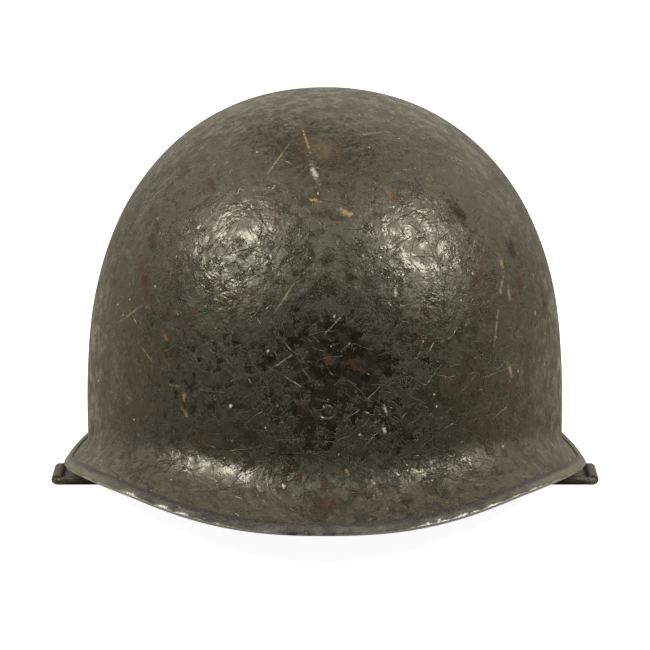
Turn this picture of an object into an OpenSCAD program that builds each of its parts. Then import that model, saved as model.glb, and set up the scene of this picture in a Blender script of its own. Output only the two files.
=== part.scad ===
// Steel combat helmet with swivelling strap loops, a chin strap and a removable liner
// Millimetres. The front faces -Y, +Z is up and the origin lies on the ground below the middle.
// Left and right are the wearer's: the wearer's left is +X.

/* [Steel shell] */
// Half width of the dome at its widest level
shell_half_w = 110.7; // [104:0.1:118]
// Reach of the dome wall in front of the origin
shell_front = 115.5; // [108:0.5:122]
// Reach of the dome wall behind the origin
shell_rear = 127.5; // [120:0.5:134]
// Height of the crown above the ground
crown_h = 181.8; // [165:0.1:200]
// Thickness of the sheet steel
sheet = 1.1; // [0.8:0.1:1.6]
// Height of the visor's flare above the rim, at the front
flare_front = 29; // [22:0.5:36]
// Height of the flare above the rim, at the sides
flare_side = 15; // [11:0.5:20]
// Height of the flare above the rim, at the rear
flare_rear = 23; // [14:0.5:28]

/* [Rim line] */
// How far the rim stands out beyond the dome's wall at the sides
flare_out = 11.1; // [9:0.1:13]
// How far the visor's edge stands out beyond the dome's wall
visor_out = 24.5; // [18:0.5:30]
// How far the rim stands out beyond the dome's wall at the rear
rear_out = 12.5; // [8:0.5:18]
// Height of the arched rim at the temples
temple_h = 26.1; // [18:0.1:30]
// Drop of the rim from the temples to the tip of the visor
visor_dip = 7.8; // [3:0.1:10]

/* [Rim band] */
// Width of each leg of the folded edging strip
band_leg = 5.4; // [4:0.1:7]
// Thickness of the edging strip
band_t = 0.55; // [0.4:0.05:0.7]
// Gap between the strip's ends at the rear seam
band_seam = 1.2; // [0.6:0.1:3]

/* [Strap loops] */
// Diameter of the loop's wire
wire_d = 3; // [2.6:0.1:3.2]
// Distance from the hinge bar to the outer bar of a loop
loop_reach = 16; // [15:0.1:18]
// Distance between the two arms of a loop, centre to centre
loop_w = 23; // [22.6:0.1:25]
// Distance of the loops' middle in front of the origin
loop_forward = 3; // [2:0.5:8]
// Width of the hinge plate
plate_w = 18.6; // [14:0.1:19]
// Height of the hinge plate above its barrel
plate_h = 27; // [20:1:32]
// Thickness of the folded strip of the hinge plate
plate_t = 0.9; // [0.7:0.1:1]

/* [Chin strap] */
// Width of the webbing
webbing_w = 18.8; // [14:0.1:19]
// Thickness of the webbing
webbing_t = 0.9; // [0.8:0.05:1]
// Diameter of the end loop's wire
ring_d = 2; // [1.6:0.1:2.4]
// Length of the end loop from its hinge bar to its free bar
ring_reach = 12; // [10:0.5:16]
// Thickness of the buckle's plate
buckle_t = 1.4; // [1:0.1:1.6]
// Length of the metal strap tip
tip_len = 14; // [10:1:18]

/* [Liner] */
// Thickness of the liner's wall
liner_t = 2.6; // [2:0.1:3.2]
// Gap between the liner and the shell at the sides
liner_gap = 3.7; // [3.5:0.1:6]
// Gap between the liner and the shell at the crown, where the liner seats
seat_gap = 0.5; // [0.3:0.1:0.9]
// Height of the liner's edge above the rim
liner_up = 9; // [7:0.5:14]
// Room between the headband and the liner's outside at the sides
head_room_w = 28.9; // [26:0.1:36]
// Room between the headband and the liner's outside at the front and rear
head_room_l = 19.7; // [17:0.1:27]
// Height of the headband
headband_h = 36; // [28:1:42]
// Width of the suspension band
band_h = 24; // [19:1:26]
// Height of the suspension band's lower edge above the ground
band_z = 34; // [32:0.5:40]
// Height of the crown lace above the ground
lace_z = 148; // [135:1:154]
// Distance of the crown lace from the middle
lace_r = 17; // [16:0.5:24]
// Radius of the liner's rivets
rivet_r = 1.9; // [1.5:0.1:2.4]
// Radius of the front eyelet's hole
eyelet_r = 2.6; // [2:0.1:3.4]

/* [Hidden] */
$fn = 48;

rim_half_w = shell_half_w + flare_out;
rim_front = shell_front + visor_out;
rim_rear = shell_rear + rear_out;
// Exponents of the dome: its upright profile, its rounding at the crown and its plan
profile_n = 2.1;
crown_n = 2.87;
plan_n = 2.15;
rim_n = 2.47;
// The rim is widest this far behind the origin
rim_widest_y = 15;
// The rim's height falls from the temples to the ground between these two places
temple_y = -109.5;
ground_y = 58;
// The visor's tip dips in front of this place
corner_y = -105;
facets = 72;
dome_rings = 22;
flare_rings = 4;
band_rings = 3;
fit = 0.05;
touch = 0.1;
near_gap = 0.3;
// Room for a flat head against the liner's curved inside
facet_gap = 0.4;

steel_grey = [0.27, 0.26, 0.22];
rim_grey = [0.42, 0.41, 0.38];
wire_grey = [0.30, 0.29, 0.26];
webbing_green = [0.45, 0.44, 0.33];
brass_black = [0.20, 0.19, 0.17];
liner_green = [0.33, 0.32, 0.24];
cotton = [0.62, 0.59, 0.46];
leather_brown = [0.45, 0.29, 0.17];

function unit(v) = v / norm(v);
function mix(a, b, t) = a * (1 - t) + b * t;
function clamp(v) = min(1, max(0, v));
function smooth(v) = let(u = clamp(v)) u * u * (3 - 2 * u);
function squircle(phi, n) = pow(pow(abs(cos(phi)), n) + pow(abs(sin(phi)), n), -1 / n);
function plan(phi, n) = squircle(phi, n) * [cos(phi), sin(phi)];
function bezier(a, b, c, d, t) =
    let(u = 1 - t) u * u * u * a + 3 * u * u * t * b + 3 * u * t * t * c + t * t * t * d;

// Rim line, seen from above and as a height over Y
function rim_xy(phi) =
    let(p = plan(phi, rim_n), half = p[1] < 0 ? rim_front + rim_widest_y : rim_rear - rim_widest_y)
    [rim_half_w * p[0], rim_widest_y + half * p[1]];
function rim_z(y) = temple_h * smooth((ground_y - y) / (ground_y - temple_y))
    - visor_dip * pow(max(0, (corner_y - y) / (rim_front + corner_y)), 2);
function round_about(phi, front, side, rear) =
    side + ((sin(phi) < 0 ? front : rear) - side) * pow(sin(phi), 2);

// Dome point for a plan angle and a level from 0 at the crown to 90 at the wall's foot
mid_y = (shell_rear - shell_front) / 2;
mid_l = (shell_rear + shell_front) / 2;
function wall_foot(phi, inset, foot_z) = let(p = plan(phi, plan_n))
    [(shell_half_w - inset) * p[0], mid_y + (mid_l - inset) * p[1], foot_z];
function dome(phi, level, inset, top, foot_z) =
    let(foot = wall_foot(phi, inset, foot_z), r = pow(sin(level), 2 / profile_n))
    [foot[0] * r, mix(mid_y, foot[1], r), foot_z + (top - foot_z) * pow(cos(level), 2 / crown_n)];
function dome_level(z, top, foot_z) = acos(pow(clamp((z - foot_z) / (top - foot_z)), crown_n / 2));
// Flared brim from the wall's foot to the edge, as a curve that starts upright
function flare(foot, edge, t) =
    let(fall = foot[2] - edge[2], out = edge - foot)
    bezier(foot, foot - [0, 0, 0.55 * fall], edge + [-0.42 * out[0], -0.42 * out[1], 0.3 * fall], edge, t);

// Steel surface: s runs from 0 at the crown over 1 at the wall's foot to 2 at the edge
function steel_edge(phi) = let(q = rim_xy(phi)) [q[0], q[1], rim_z(q[1])];
function steel_at(phi, s) =
    let(edge = steel_edge(phi), foot_z = edge[2] + round_about(phi, flare_front, flare_side, flare_rear))
    s < 1 ? dome(phi, 90 * s, 0, crown_h - rim_lift, foot_z)
        : flare(wall_foot(phi, 0, foot_z), edge, s - 1);

// Liner surface, on the same scheme, with a short flare
liner_top = crown_h - sheet - seat_gap;
liner_inset = sheet + liner_gap;
head_half_w = shell_half_w - liner_inset - head_room_w;
head_half_l = (shell_front + shell_rear) / 2 - liner_inset - head_room_l;
liner_flare_out = [7, 0, 3.5];
liner_flare_h = [9, 7, 7];
function liner_foot_z(phi) = rim_lift + rim_z(rim_xy(phi)[1]) + liner_up
    + round_about(phi, liner_flare_h[0], liner_flare_h[1], liner_flare_h[2]);
function liner_at(phi, s) =
    let(foot = wall_foot(phi, liner_inset, liner_foot_z(phi)),
        out = round_about(phi, liner_flare_out[0], liner_flare_out[1], liner_flare_out[2]) * plan(phi, 2))
    s < 1 ? dome(phi, 90 * s, liner_inset, liner_top, liner_foot_z(phi))
        : flare(foot, [foot[0] + out[0], foot[1] + out[1],
            foot[2] - round_about(phi, liner_flare_h[0], liner_flare_h[1], liner_flare_h[2])], s - 1);

// Outward normal of either surface
step_s = 0.004;
function normal_of(west, east, up, down) = unit(cross(down - up, east - west));
function steel_normal(phi, s) = s < step_s ? [0, 0, 1]
    : let(a = s > 1 ? max(1, s - step_s) : s - step_s, b = s > 1 ? min(2, s + step_s) : min(1, s + step_s))
    normal_of(steel_at(phi - 0.5, s), steel_at(phi + 0.5, s), steel_at(phi, a), steel_at(phi, b));
function liner_normal(phi, s) = s < step_s ? [0, 0, 1]
    : let(a = s > 1 ? max(1, s - step_s) : s - step_s, b = s > 1 ? min(2, s + step_s) : min(1, s + step_s))
    normal_of(liner_at(phi - 0.5, s), liner_at(phi + 0.5, s), liner_at(phi, a), liner_at(phi, b));
function steel_off(phi, s, out) = steel_at(phi, s) + out * steel_normal(phi, s);
function liner_off(phi, s, out) = liner_at(phi, s) + out * liner_normal(phi, s);

// The sheet's own edge stops short of the rim line by the fold of the edging strip
fold = band_t + fit;
function flare_run(phi) = norm(steel_at(phi, 2) - steel_at(phi, 1));
function s_from_edge(phi, run) = 2 - run / flare_run(phi);
function sheet_levels(phi) = let(leg = s_from_edge(phi, band_leg), end = s_from_edge(phi, fold))
    concat([for (k = [1:flare_rings]) 1 + (leg - 1) * k / flare_rings],
        [for (k = [1:band_rings]) mix(leg, end, k / band_rings)]);
function band_levels(phi) = let(leg = s_from_edge(phi, band_leg), end = s_from_edge(phi, fold))
    [for (k = [0:band_rings]) mix(leg, end, k / band_rings)];

// Section of the edging strip as two chains of points, outside and inside the fold
function edge_turn(phi, depth, out) =
    let(n = steel_normal(phi, 2), run = unit(steel_at(phi, 2) - steel_at(phi, 1.94)))
    steel_at(phi, s_from_edge(phi, fold)) + run * depth + n * out;
function band_outer(phi) = concat(
    [for (s = band_levels(phi)) steel_off(phi, s, fit + band_t)],
    [edge_turn(phi, fit + 0.7 * band_t, 0.35 * fit), edge_turn(phi, fit + band_t, -sheet / 2),
     edge_turn(phi, fit + 0.7 * band_t, -sheet)],
    [for (k = [band_rings:-1:0]) steel_off(phi, band_levels(phi)[k], -sheet - fit - band_t)]);
function band_inner(phi) = concat(
    [for (s = band_levels(phi)) steel_off(phi, s, fit)],
    [edge_turn(phi, fit, fit), edge_turn(phi, fit, -sheet / 2), edge_turn(phi, fit, -sheet - fit)],
    [for (k = [band_rings:-1:0]) steel_off(phi, band_levels(phi)[k], -sheet - fit)]);
// The whole rim rises until the edging strip's lowest point is on the ground
rim_lift = -min([for (j = [0:facets / 2]) each [for (p = band_outer(-90 + 360 * j / facets)) p[2]]]);

// Closed skin between two grids of points, the first one on the outside
module skin(outside, inside, closed = false) {
    rows = len(outside);
    cols = len(outside[0]);
    far = rows * cols;
    last = closed ? rows - 1 : rows - 2;
    function id(j, i) = (j % rows) * cols + i;
    faces = concat(
        [for (j = [0:last], i = [0:cols - 2]) each [
            [id(j, i), id(j + 1, i), id(j + 1, i + 1)], [id(j, i), id(j + 1, i + 1), id(j, i + 1)],
            [far + id(j, i), far + id(j + 1, i + 1), far + id(j + 1, i)],
            [far + id(j, i), far + id(j, i + 1), far + id(j + 1, i + 1)]]],
        [for (j = [0:last], i = cols - 1) each [
            [id(j, 0), far + id(j, 0), far + id(j + 1, 0)], [id(j, 0), far + id(j + 1, 0), id(j + 1, 0)],
            [id(j, i), far + id(j + 1, i), far + id(j, i)], [id(j, i), id(j + 1, i), far + id(j + 1, i)]]],
        closed ? [] : [for (i = [0:cols - 2]) each [
            [i, i + 1, far + i + 1], [i, far + i + 1, far + i],
            [id(rows - 1, i), far + id(rows - 1, i + 1), id(rows - 1, i + 1)],
            [id(rows - 1, i), far + id(rows - 1, i), far + id(rows - 1, i + 1)]]]);
    polyhedron(points = concat([for (r = outside) each r], [for (r = inside) each r]), faces = faces);
}

// Closed bowl: rings from the crown down the outside and up the inside, between two poles
module bowl(top, rings, inner_top) {
    n = len(rings[0]);
    m = len(rings);
    function id(k, j) = 1 + k * n + (j % n);
    polyhedron(points = concat([top], [for (r = rings) each r], [inner_top]), faces = concat(
        [for (j = [0:n - 1]) [0, id(0, j + 1), id(0, j)]],
        [for (k = [0:m - 2], j = [0:n - 1]) each [
            [id(k, j), id(k, j + 1), id(k + 1, j + 1)], [id(k, j), id(k + 1, j + 1), id(k + 1, j)]]],
        [for (j = [0:n - 1]) [1 + m * n, id(m - 1, j), id(m - 1, j + 1)]]));
}

module steel_shell() {
    n = dome_rings;
    angles = [for (j = [0:facets - 1]) -90 + 360 * j / facets];
    down = [for (k = [1:n]) [for (a = angles) steel_at(a, k / n)]];
    brim = [for (k = [0:flare_rings + band_rings - 1]) [for (a = angles) steel_at(a, sheet_levels(a)[k])]];
    under = [for (k = [flare_rings + band_rings - 1:-1:0])
        [for (a = angles) steel_off(a, sheet_levels(a)[k], -sheet)]];
    up = [for (k = [n:-1:1]) [for (a = angles) steel_off(a, k / n, -sheet)]];
    top = steel_at(0, 0);
    color(steel_grey) translate([0, 0, rim_lift])
        bowl(top, concat(down, brim, under, up), top - [0, 0, sheet]);
}

module rim_band() {
    seam = band_seam / 2 / rim_half_w * 180 / PI;
    angles = [for (j = [0:facets]) 90 + (j == 0 ? seam : j == facets ? 360 - seam : 360 * j / facets)];
    color(rim_grey) translate([0, 0, rim_lift])
        skin([for (a = angles) band_outer(a)], [for (a = angles) band_inner(a)]);
}

// Hinge of a strap loop, inside the shell
hinge_bore = wire_d / 2 + fit;
barrel_r = hinge_bore + plate_t;
roll_r = wire_d / 2 + fit + webbing_t;
function wall_x(y, inset) = (shell_half_w - inset)
    * pow(1 - pow(abs(y - mid_y) / (mid_l - inset), plan_n), 1 / plan_n);
plate_face = wall_x(-loop_forward - plate_w / 2, sheet) - 2 * touch;
hinge_x = plate_face - 2 * plate_t + barrel_r;
hinge_z = 2 * webbing_t + 0.35 + barrel_r;
loop_tilt = asin((hinge_z - roll_r) / loop_reach);
bar_x = hinge_x + loop_reach * cos(loop_tilt);

// Draws its children for one side, the wearer's left as drawn and the right mirrored
module side(right) {
    if (right) mirror([1, 0, 0]) children();
    else children();
}

// Extrudes a profile drawn in X and Z along Y, about the loops' middle
module across(w) {
    translate([0, -loop_forward + w / 2, 0]) rotate([90, 0, 0]) linear_extrude(w) children();
}

module hinge_plate(right) {
    slit = 0.12;
    weld_r = 2.2;
    color(wire_grey) side(right) {
        across(plate_w) difference() {
            union() {
                translate([hinge_x, hinge_z]) circle(barrel_r);
                translate([plate_face - 2 * plate_t, hinge_z]) square([2 * plate_t, plate_h]);
            }
            translate([hinge_x, hinge_z]) circle(hinge_bore);
            translate([plate_face - plate_t - slit / 2, hinge_z + barrel_r]) square([slit, plate_h]);
        }
        for (y = [-1, 1], z = [0.45, 0.8])
            translate([plate_face - 2 * plate_t - 0.2, -loop_forward + y * plate_w / 4,
                hinge_z + z * plate_h]) rotate([0, 90, 0]) cylinder(h = 0.3, r = weld_r);
    }
}
module left_hinge_plate() hinge_plate(false);
module right_hinge_plate() hinge_plate(true);

// Closed wire loop in the XY plane: a bar on the Y axis, one at x = reach, and two arms
module wire_loop(reach, w, d, bend) {
    for (x = [0, reach]) translate([x, w / 2 - bend, 0]) rotate([90, 0, 0])
        cylinder(h = w - 2 * bend, r = d / 2);
    for (y = [-w / 2, w / 2]) translate([bend, y, 0]) rotate([0, 90, 0])
        cylinder(h = reach - 2 * bend, r = d / 2);
    for (x = [0, 1], y = [0, 1])
        translate([x == 0 ? bend : reach - bend, y == 0 ? bend - w / 2 : w / 2 - bend, 0])
            rotate([0, 0, x == 0 ? (y == 0 ? 180 : 90) : (y == 0 ? 270 : 0)])
                rotate_extrude(angle = 90) translate([bend, 0]) circle(d / 2);
}
module bail(right) {
    bend = 2.2;
    color(wire_grey) side(right) translate([hinge_x, -loop_forward, hinge_z]) rotate([0, loop_tilt, 0])
        wire_loop(loop_reach, loop_w, wire_d, bend);
}
module left_bail() bail(false);
module right_bail() bail(true);

// Webbing sewn round the outer bar, with a short doubled tongue that lies on the ground
tongue_x = hinge_x + barrel_r + 1.2;
module strap_loop(right) {
    color(webbing_green) side(right) difference() {
        union() {
            across(webbing_w) translate([bar_x, roll_r]) circle(roll_r);
            across(webbing_w) polygon([[bar_x - 0.35 * roll_r, 0], [tongue_x, 0],
                [tongue_x, 2 * webbing_t], [bar_x - 2.4 * roll_r, 2 * webbing_t],
                [bar_x - 0.75 * roll_r, 1.5 * roll_r]]);
        }
        across(webbing_w + 1) translate([bar_x, roll_r]) circle(wire_d / 2 + fit);
    }
}
module left_strap_loop() strap_loop(false);
module right_strap_loop() strap_loop(true);

// Webbing along a route of [x, z] points of its middle, at the loops' place
function along(route, i) = unit(route[min(i + 1, len(route) - 1)] - route[max(i - 1, 0)]);
function beside(route, i, out) = let(d = along(route, i)) route[i] + out * [d[1], -d[0]];
module webbing(route, w, t) {
    ys = [-loop_forward - w / 2, -loop_forward + w / 2];
    grid = function(out) [for (i = [0:len(route) - 1])
        let(p = beside(route, i, out)) [for (y = ys) [p[0], y, p[1]]]];
    skin(grid(t / 2), grid(-t / 2));
}

// Free runs of the strap on the ground: the long run folds back over itself, through the buckle
strap_start = tongue_x - near_gap;
doubled_end = 96;
floor_z = webbing_t / 2;
over_z = floor_z + webbing_t + near_gap;
fold_x = -28;
buckle_x = 34;
bar_half = 2;
slot_half = 8.6;
plate_z = over_z + webbing_t / 2 + 0.25;
hop_z = plate_z + buckle_t + 0.25 + webbing_t / 2;
tip_x = 76;
long_route = [[strap_start, floor_z], [80, floor_z], [60, floor_z], [30, floor_z], [0, floor_z],
    [fold_x, floor_z], [fold_x - 3, floor_z + 0.5], [fold_x - 5, floor_z + 1.6],
    [fold_x - 4.6, floor_z + 3], [fold_x - 2.8, floor_z + 3.5], [fold_x + 1, floor_z + 3.1],
    [fold_x + 8, over_z + 0.6], [-8, over_z], [10, over_z],
    [buckle_x - slot_half, over_z], [buckle_x - bar_half - 0.6, hop_z],
    [buckle_x + bar_half + 0.6, hop_z], [buckle_x + slot_half, over_z], [56, over_z],
    [tip_x, over_z]];
ring_roll_r = ring_d / 2 + fit + webbing_t;
ring_x = -72;
short_route = [[-strap_start, floor_z], [-90, floor_z], [ring_x, floor_z]];

module left_strap() color(webbing_green) {
    webbing(long_route, webbing_w, webbing_t);
    translate([doubled_end, -loop_forward - webbing_w / 2, 0])
        cube([strap_start - doubled_end, webbing_w, 2 * webbing_t]);
}

module right_strap() color(webbing_green) {
    difference() {
        union() {
            translate([-strap_start, -loop_forward - webbing_w / 2, 0])
                cube([ring_x + strap_start, webbing_w, webbing_t]);
            across(webbing_w) translate([ring_x, ring_roll_r]) circle(ring_roll_r);
        }
        across(webbing_w + 1) translate([ring_x, ring_roll_r]) circle(ring_d / 2 + fit);
    }
    translate([-strap_start, -loop_forward - webbing_w / 2, 0])
        cube([strap_start - doubled_end, webbing_w, 2 * webbing_t]);
}

// Wire end loop hinged in the short strap's end, its free bar on the ground
module strap_end_loop() {
    tilt = asin((ring_roll_r - ring_d / 2) / ring_reach);
    color(brass_black) translate([ring_x, -loop_forward, ring_roll_r]) rotate([0, tilt, 0])
        wire_loop(ring_reach, webbing_w + ring_d + 1.4, ring_d, 1.6);
}

// Slide buckle with a hook, threaded on the long strap's upper run
module strap_buckle() {
    frame_l = 25;
    frame_w = webbing_w + 6;
    slot = webbing_w + 0.8;
    hook_w = 9;
    color(brass_black) difference() {
        translate([buckle_x - frame_l / 2, -loop_forward - frame_w / 2, plate_z])
            cube([frame_l, frame_w, buckle_t]);
        for (s = [-1, 1]) translate([buckle_x + s * (bar_half + slot_half + 0.4) / 2
            - (slot_half + 0.4 - bar_half) / 2, -loop_forward - slot / 2, plate_z - 1])
            cube([slot_half + 0.4 - bar_half, slot, buckle_t + 2]);
    }
    color(brass_black) across(hook_w) translate([buckle_x - frame_l / 2 - 0.2, plate_z]) {
        translate([-8, 0]) square([8.4, buckle_t]);
        translate([-8, buckle_t + 1.3]) difference() {
            circle(buckle_t + 1.3);
            circle(1.3);
            translate([0, -5]) square([10, 10]);
        }
        translate([-8, buckle_t + 2.6]) square([5, buckle_t]);
    }
}

// Folded metal tip on the long strap's free end
module strap_tip() {
    color(brass_black) across(webbing_w + 0.8) difference() {
        translate([tip_x - tip_len + 1, over_z - webbing_t / 2 - touch - 0.1])
            square([tip_len + 0.4, webbing_t + 2 * touch + 0.8]);
        translate([tip_x - tip_len, over_z - webbing_t / 2 - fit])
            square([tip_len + fit, webbing_t + 2 * fit]);
    }
}

// Liner: the wall and what is riveted to it
liner_facets = 60;
liner_rings = 15;
rivet_angles = [for (k = [0:5]) 30 + 60 * k];
rivet_z = band_z + band_h / 2;
nape_z = [13.5, 27];
nape_rivet_z = (nape_z[0] + nape_z[1]) / 2 + 1.5;
nape_angles = [48, 90, 132];
stud_angle = 12;
stud_z = 27;
eyelet_z = 74;
function liner_s(phi, z) = dome_level(z, liner_top, liner_foot_z(phi)) / 90;

// Moves its children to a place on the liner's outside, with +Z pointing out of the wall
module on_liner(phi, z) {
    s = liner_s(phi, z);
    n = liner_normal(phi, s);
    translate(liner_at(phi, s)) rotate([0, acos(n[2]), atan2(n[1], n[0])]) children();
}
module wall_hole(r) translate([0, 0, -liner_t - 4]) cylinder(h = liner_t + 8, r = r);

module liner_shell() {
    angles = [for (j = [0:liner_facets - 1]) -90 + 360 * j / liner_facets];
    levels = concat([for (k = [1:liner_rings]) k / liner_rings], [1.3, 1.65, 2]);
    rings = concat([for (s = levels) [for (a = angles) liner_at(a, s)]],
        [for (k = [len(levels) - 1:-1:0]) [for (a = angles) liner_off(a, levels[k], -liner_t)]]);
    top = liner_at(0, 0);
    color(liner_green) difference() {
        bowl(top, rings, top - [0, 0, liner_t]);
        for (a = rivet_angles) on_liner(a, rivet_z) wall_hole(rivet_r + fit);
        for (a = nape_angles) on_liner(a, nape_rivet_z + liner_nape_rise(a)) wall_hole(rivet_r + fit);
        for (a = [stud_angle, 180 - stud_angle]) on_liner(a, stud_z) wall_hole(rivet_r + fit);
        on_liner(270, eyelet_z) wall_hole(eyelet_r + 0.6 + fit);
    }
}
function liner_nape_rise(phi) = max(0, liner_foot_z(phi) - nape_rivet_z + 1);

module front_eyelet() {
    lip_t = 0.5;
    color(brass_black) on_liner(270, eyelet_z) rotate_extrude() {
        translate([eyelet_r, -liner_t - facet_gap - lip_t]) square([0.6, liner_t + facet_gap + 2 * lip_t]);
        translate([eyelet_r, touch]) square([3, lip_t]);
        translate([eyelet_r, -liner_t - facet_gap - lip_t]) square([3, lip_t]);
    }
}

// Stack at a suspension rivet, from the liner's wall inwards
web_t = 1;
washer_t = 0.8;
band_gap = 0.4;
strap_gap = 0.6;
washer_gap = 0.25;
strap_depth = liner_t + band_gap + web_t + strap_gap;
washer_depth = strap_depth + web_t + washer_gap;
rivet_len = washer_depth + washer_t;

// Headband ring and the suspension band, which runs from rivet to rivet and comes close to the
// headband between them, where spring clips hold the two together
leather_t = 1.3;
headband_t = 1.2;
headband_z = band_z - 16;
headband_out = leather_t + fit + headband_t;
clip_wall = 0.5;
clip_gap = 0.3;
function ring_xy(phi, out) = let(p = plan(phi, 2.1))
    [(head_half_w + out) * p[0], mid_y + (head_half_l + out) * p[1]];
function rivet_far(phi) = let(d = (phi + 360) % 60 - 30) abs(d);
function held(phi) = 1 - smooth((rivet_far(phi) - 6) / 20);
function band_at(phi, z, out) =
    let(wall = liner_off(phi, liner_s(phi, z), -liner_t - band_gap - web_t + out),
        near = ring_xy(phi, headband_out + touch + clip_wall + clip_gap + out))
    [mix(near[0], wall[0], held(phi)), mix(near[1], wall[1], held(phi)), z];

module strap_hole() translate([0, 0, -rivet_len]) cylinder(h = rivet_len, r = rivet_r + 0.2);
module suspension_band() {
    angles = [for (j = [0:95]) 360 * j / 96];
    levels = [band_z + band_h, rivet_z, band_z];
    color(cotton) difference() {
        skin([for (a = angles) [for (z = levels) band_at(a, z, web_t)]],
            [for (a = angles) [for (z = levels) band_at(a, z, 0)]], closed = true);
        for (a = rivet_angles) on_liner(a, rivet_z) strap_hole();
    }
}

// Half of a crown strap: up the wall, then over to its loop round the crown lace
lace_d = 2.8;
strap_w = 16;
loop_w_top = 11;
loop_bore = lace_d / 2 + 0.25;
function spoke(phi) = let(p = liner_at(phi, 1)) unit([p[0], p[1] - mid_y, 0]);
function wall_across(phi) = let(n = liner_normal(phi, liner_s(phi, rivet_z))) unit([-n[1], n[0], 0]);
function spoke_across(phi) = let(u = spoke(phi)) [-u[1], u[0], 0];
strap_low = rivet_z - 8;
strap_leave = rivet_z + 16;
function strap_mid(phi, t) =
    let(wall = function(z) let(p = liner_off(phi, liner_s(phi, z), -strap_depth - web_t / 2))
            [p[0], p[1], z],
        start = wall(strap_leave),
        end = [0, mid_y, lace_z + loop_bore + web_t / 2 - 0.2] + lace_r * spoke(phi))
    t < 0 ? wall(mix(strap_low, strap_leave, 1 + t))
        : bezier(start, start + (wall(strap_leave) - wall(strap_leave - 8)) * 4.2,
            end + 50 * spoke(phi), end, t);
function strap_row(phi, t, out) =
    let(d = strap_mid(phi, min(1, t + 0.02)) - strap_mid(phi, max(-1, t - 0.02)),
        side = unit(mix(wall_across(phi), spoke_across(phi), smooth(t))),
        half = mix(strap_w, loop_w_top - 0.8, smooth(t)) / 2,
        away = unit(cross(side, unit(d))), p = strap_mid(phi, t) + out * away)
    [p - half * side, p + half * side];
module half_strap(phi) {
    stations = concat([-1, -0.5], [for (k = [0:12]) k / 12]);
    difference() {
        union() {
            skin([for (t = stations) strap_row(phi, t, web_t / 2)],
                [for (t = stations) strap_row(phi, t, -web_t / 2)]);
            lace_loop(phi, loop_bore + web_t, loop_w_top);
        }
        lace_loop(phi, loop_bore, 2 * loop_w_top);
        on_liner(phi, rivet_z) strap_hole();
    }
}
module lace_loop(phi, r, w) {
    u = spoke(phi);
    translate([lace_r * u[0], mid_y + lace_r * u[1], lace_z]) rotate([0, 0, atan2(u[1], u[0])])
        rotate([90, 0, 0]) cylinder(h = w, r = r, center = true);
}
module crown_strap(k) color(cotton) {
    half_strap(rivet_angles[k]);
    half_strap(rivet_angles[k] + 180);
}
module crown_strap_1() crown_strap(0);
module crown_strap_2() crown_strap(1);
module crown_strap_3() crown_strap(2);

// Lace through the six loops, straight in each loop, with its knot at the front
function lace_corner(k) =
    let(a = spoke(rivet_angles[k]), b = spoke(rivet_angles[(k + 1) % 6]), m = unit(a + b))
    [0, mid_y, lace_z] + m * lace_r / (m * a);
// Points of the lace's middle: each corner is rounded over a short reach
lace_bend = 2.4;
lace_route = [for (k = [0:5]) let(c = lace_corner(k), a = unit(lace_corner((k + 5) % 6) - c),
    b = unit(lace_corner((k + 1) % 6) - c))
    each [c + lace_bend * a, c + 0.3 * lace_bend * (a + b), c + lace_bend * b]];
module crown_lace() {
    n = len(lace_route);
    function out_of(k) =
        unit(cross(unit(lace_route[(k + 1) % n] - lace_route[(k + n - 1) % n]), [0, 0, 1]));
    function row(k, turns) = [for (t = turns)
        lace_route[k] + lace_d / 2 * (cos(t) * out_of(k) + [0, 0, sin(t)])];
    color(cotton) skin([for (k = [0:n - 1]) row(k, [67.5, 22.5, -22.5, -67.5])],
        [for (k = [0:n - 1]) row(k, [112.5, 157.5, 202.5, 247.5])], closed = true);
}

// A-shaped plate, wide at its lower edge
washer_half = 8;
module suspension_washers() color(brass_black) for (a = rivet_angles)
    on_liner(a, rivet_z) translate([0, 0, -washer_depth - washer_t]) difference() {
        linear_extrude(washer_t) polygon(washer_half
            * [[-0.75, -0.4], [-0.75, 0.4], [0.1, 1], [0.75, 1], [1, 0.75], [1, -0.75], [0.75, -1], [0.1, -1]]);
        translate([0, 0, -washer_t]) cylinder(h = 3 * washer_t, r = rivet_r + fit);
    }

module rivet(depth) {
    translate([0, 0, -depth - fit]) cylinder(h = depth + 2 * fit, r = rivet_r);
    translate([0, 0, fit]) cylinder(h = 0.9, r = 2.2 * rivet_r);
    translate([0, 0, -depth - fit - 0.9]) cylinder(h = 0.9, r = 1.9 * rivet_r);
}
module liner_rivets() color(brass_black) for (a = rivet_angles) on_liner(a, rivet_z) rivet(rivet_len);

module ring_wall(out, t, z, h) {
    angles = [for (j = [0:71]) 5 * j];
    translate([0, 0, z]) linear_extrude(h) difference() {
        polygon([for (a = angles) ring_xy(a, out + t)]);
        polygon([for (a = angles) ring_xy(a, out)]);
    }
}
module headband() color(cotton) ring_wall(leather_t + fit, headband_t, headband_z, headband_h);

// Leather on the headband's inside, turned over its lower edge
module sweatband() {
    turn_up = 7;
    out = headband_out + fit;
    low = headband_z - touch;
    high = headband_z + headband_h + 1.5;
    angles = [for (j = [0:71]) 5 * j];
    function at(phi, o, z) = let(q = ring_xy(phi, o)) [q[0], q[1], z];
    color(leather_brown) skin(
        [for (a = angles) [at(a, out + 0.9, headband_z + turn_up), at(a, out + 0.9, low - 0.6),
            at(a, out / 2, low - 1.1), at(a, 0.5, low - 0.7), at(a, 0, low + 1), at(a, 0, high)]],
        [for (a = angles) [at(a, out, headband_z + turn_up), at(a, out, low),
            at(a, out / 2, low - 0.1), at(a, leather_t, low), at(a, leather_t, low + 1),
            at(a, leather_t, high)]], closed = true);
}

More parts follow.
